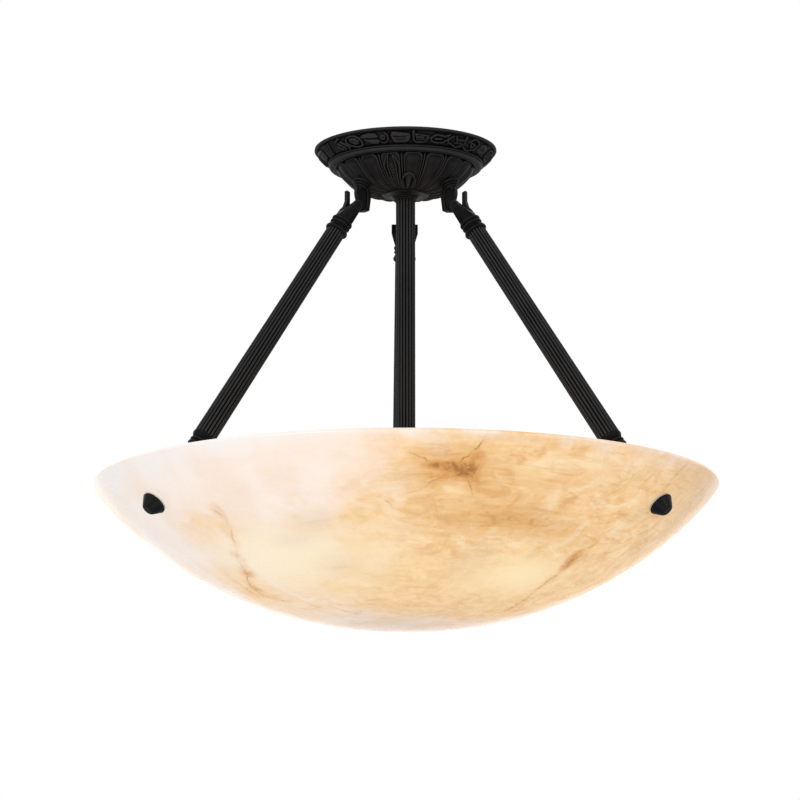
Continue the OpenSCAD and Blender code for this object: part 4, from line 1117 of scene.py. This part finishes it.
def stem():
    p, s, low, floor = PIPE_HOLE_R, STEM_TOP, LAMP_Z + 18, LAMP_Z - 16
    hub = [(p, s), (13.3, s), (15.4, HUB_Z - 1.4), (HUB_R - 0.5, HUB_Z - 1.4), (HUB_R, HUB_Z - 0.9),
        (HUB_R, HUB_Z), (12, HUB_Z), (12, PLATE_Z), (p, PLATE_Z)]
    ring = [(p, s), (12.5, s), (12.5, s - 1.3), (11.6, s - 1.7), (11.4, s - 2.2), (11.9, s - 2.6),
        (11.7, s - 3.6), (10.4, s - 3.9), (9, s - 3.2), (5.4, s - 3.2), (p, s - 2.8)]
    foot = [(p, low), (12.5, low), (12.5, low + 2), (11.6, low + 2.7), (12.2, low + 4), (11, STEM_BOTTOM),
        (p, STEM_BOTTOM)]
    nut = [(p, floor), (12, floor), (11.6, floor - 2.2), (10.4, floor - 4.6), (7.6, floor - 6.9),
        (3.4, floor - 7.9), (0, floor - 8), (0, floor - 6.5), (p, floor - 6.5)]
    piece("turned_hub", lathe(hub, 0.35, 144), "root", "canopy_hub", PIN)
    piece("stem_ring", lathe(ring, 0.35, 96), "root", "stem_top_collar", TURNED)
    piece("reeded_stem", reeded_tube(STEM_BOTTOM, s - 2.6, 9.4, 9.4, 5.3), "root", "stem_sleeve", REEDED)
    piece("stem_foot", lathe(foot), "root", "stem_bottom_collar", TURNED)
    piece("cluster_lid", lathe(box_outline(p, 28, LAMP_Z + 16, low), 0.7, 96), "root", "cluster_cover",
        TURNED)
    piece("cluster_finial", lathe(nut, 0.5), "root", "cluster_finial_nut", TURNED)


def lamps():
    holder = [(0, 23), (8, 23), (8, HOLDER_START), (18.2, HOLDER_START), (19, HOLDER_START + 1.2), (19, 52),
        (18.3, 52.8), (18.3, 54.2), (19, 55), (19, HOLDER_END - 1), (18, HOLDER_END), (13.8, HOLDER_END),
        (13.8, HOLDER_FLOOR), (0, HOLDER_FLOOR)]
    shell = lathe(box_outline(13.1, 13.6, 46, 76), 0.15)
    contact = lathe([(0, 44), (4, 44), (4, 45.2), (3.2, 45.6), (0, 45.6)], 0.3, 36)
    glass = [(0, GLASS_START), (12.7, GLASS_START), (12.7, 80), (12.9, 83), (14.6, 88.5), (19, 96),
        (24, 104), (28.4, 112.5), *arc((0, 128), 30, 30, range(-15, 90, 7)), (0, 158)]
    tip = lathe([(0, 46), (4, 46), (5, 48), (9, 49), (9, 52.4), (0, 52.4)], 0.4, 48)
    skirt = lathe(box_outline(0, 12.6, 71.5, GLASS_START), 0.3, 48)
    cap = joined([tip, thread(12.6, 0.7, 3.6, 52, 72, 48, 10), skirt])
    places = {lamp: at(turn, 0, LAMP_Z, pi / 2) for lamp, turn in LAMPS.items()}
    for lamp, place in places.items():
        body = f"bulb_{lamp}"
        piece(f"porcelain_holder_{lamp}", lathe(holder, 0.5), "root", f"lampholder_{lamp}", PORCELAIN,
            place)
        piece(f"frosted_bulb_{lamp}", lathe(glass, 0.6, 72, 2), body, f"bulb_glass_{lamp}", LIT_GLASS,
            place)
        piece(f"screw_cap_{lamp}", cap, body, f"bulb_cap_{lamp}", CAP, place)
    for name, part, node_name in (("shell_set", shell, "screw_shells"),
            ("contact_set", contact, "center_contacts")):
        piece(name, joined([moved(part, place) for place in places.values()]), "root", node_name, SHELL)


# CAD nodes whose shape is right: a material and eased edges

def finish_nodes():
    eased = {"crossbar": (ZINC, 0.25), "ground_screw": (GREEN, 0.3), "terminal_block": (WHITE, 0.4),
        "crossbar_locknut": (BRASS, 0.35), "stem_pipe": (PIPE, 0.2), "load_plate": (ZINC, 0.25),
        "load_plate_nut": (BRASS, 0.35), "hook_nuts": (STEEL, 0.3), "cluster_body": (TURNED, 0.4),
        "bowl_inner_nuts": (STEEL, 0.35)}
    eased.update({f"tie_rod_{name}": (STEEL, 0.2) for name in STATIONS})
    for name, (paint, width) in eased.items():
        obj = frame["nodes"][name]
        for slot in obj.material_slots:
            slot.link = "OBJECT"
            slot.material = paint.material
        modify(obj, "BEVEL", width=width * MM, segments=3, limit_method="ANGLE", angle_limit=radians(40),
            harden_normals=False)


# Floor, light and camera

def floor():
    m = Paint("floor")
    m.set("Roughness", m.span(m.noise(m.place(), 3, 2), 0.3, 0.7, 0.7, 0.9, "LINEAR"))
    m.set("Base Color", (0.86, 0.86, 0.85, 1))
    m.set("Specular IOR Level", 0.1)
    mesh = bpy.data.meshes.new("floor")
    mesh.from_pydata(level(turns(96), FLOOR_R, FLOOR_Z).tolist(), [], [list(range(96))])
    mesh.materials.append(m.material)
    placed("floor", mesh)


def world():
    """Soft even light, and plain white where it is seen, mirrored or seen through."""
    made = bpy.data.worlds.new("world")
    made.use_nodes = True
    made.node_tree.nodes.clear()
    m = Nodes(made.node_tree)
    rays = m.add("LightPath").outputs
    through = m.maths("MAXIMUM", rays["Is Glossy Ray"], rays["Is Transmission Ray"])
    seen = m.maths("MAXIMUM", rays["Is Camera Ray"], through)
    light = m.add("Background", {"Color": (0.95, 0.97, 1, 1), "Strength": 0.42})
    white = m.add("Background", {"Color": (1, 1, 1, 1), "Strength": 1})
    mix = m.add("MixShader", {0: seen, 1: light.outputs[0], 2: white.outputs[0]})
    m.add("OutputWorld", {0: mix.outputs[0]})
    bpy.context.scene.world = made


def lamp_panel(name, place, size, power):
    data = assign(bpy.data.lights.new(name, "AREA"), shape="RECTANGLE", size=size[0], size_y=size[1],
        energy=power)
    aim = (Vector(MIDDLE) - Vector(place)).to_track_quat("-Z", "Y").to_euler()
    assign(placed(name, data), location=place, rotation_euler=aim)


def camera():
    data = assign(bpy.data.cameras.new("camera"), lens=CAMERA_LENS, sensor_width=SENSOR,
        sensor_fit="HORIZONTAL", clip_end=60)
    aim = (radians(90 + CAMERA_PITCH), 0, radians(-CAMERA_HEADING))
    bpy.context.scene.camera = assign(placed("camera", data), location=CAMERA_PLACE, rotation_euler=aim)


bowl()
canopy()
hooks()
rods()
clamps()
stem()
lamps()
finish_nodes()
floor()
world()
lamp_panel("key", (-1.5, -2.2, 0.9), (1.2, 1.2), 34)
lamp_panel("fill", (1.9, -2, -0.3), (1.4, 1.4), 14)
lamp_panel("below", (0, -1.2, -1.4), (1.6, 1), 8)
camera()
bpy.context.scene.view_settings.view_transform = "Standard"
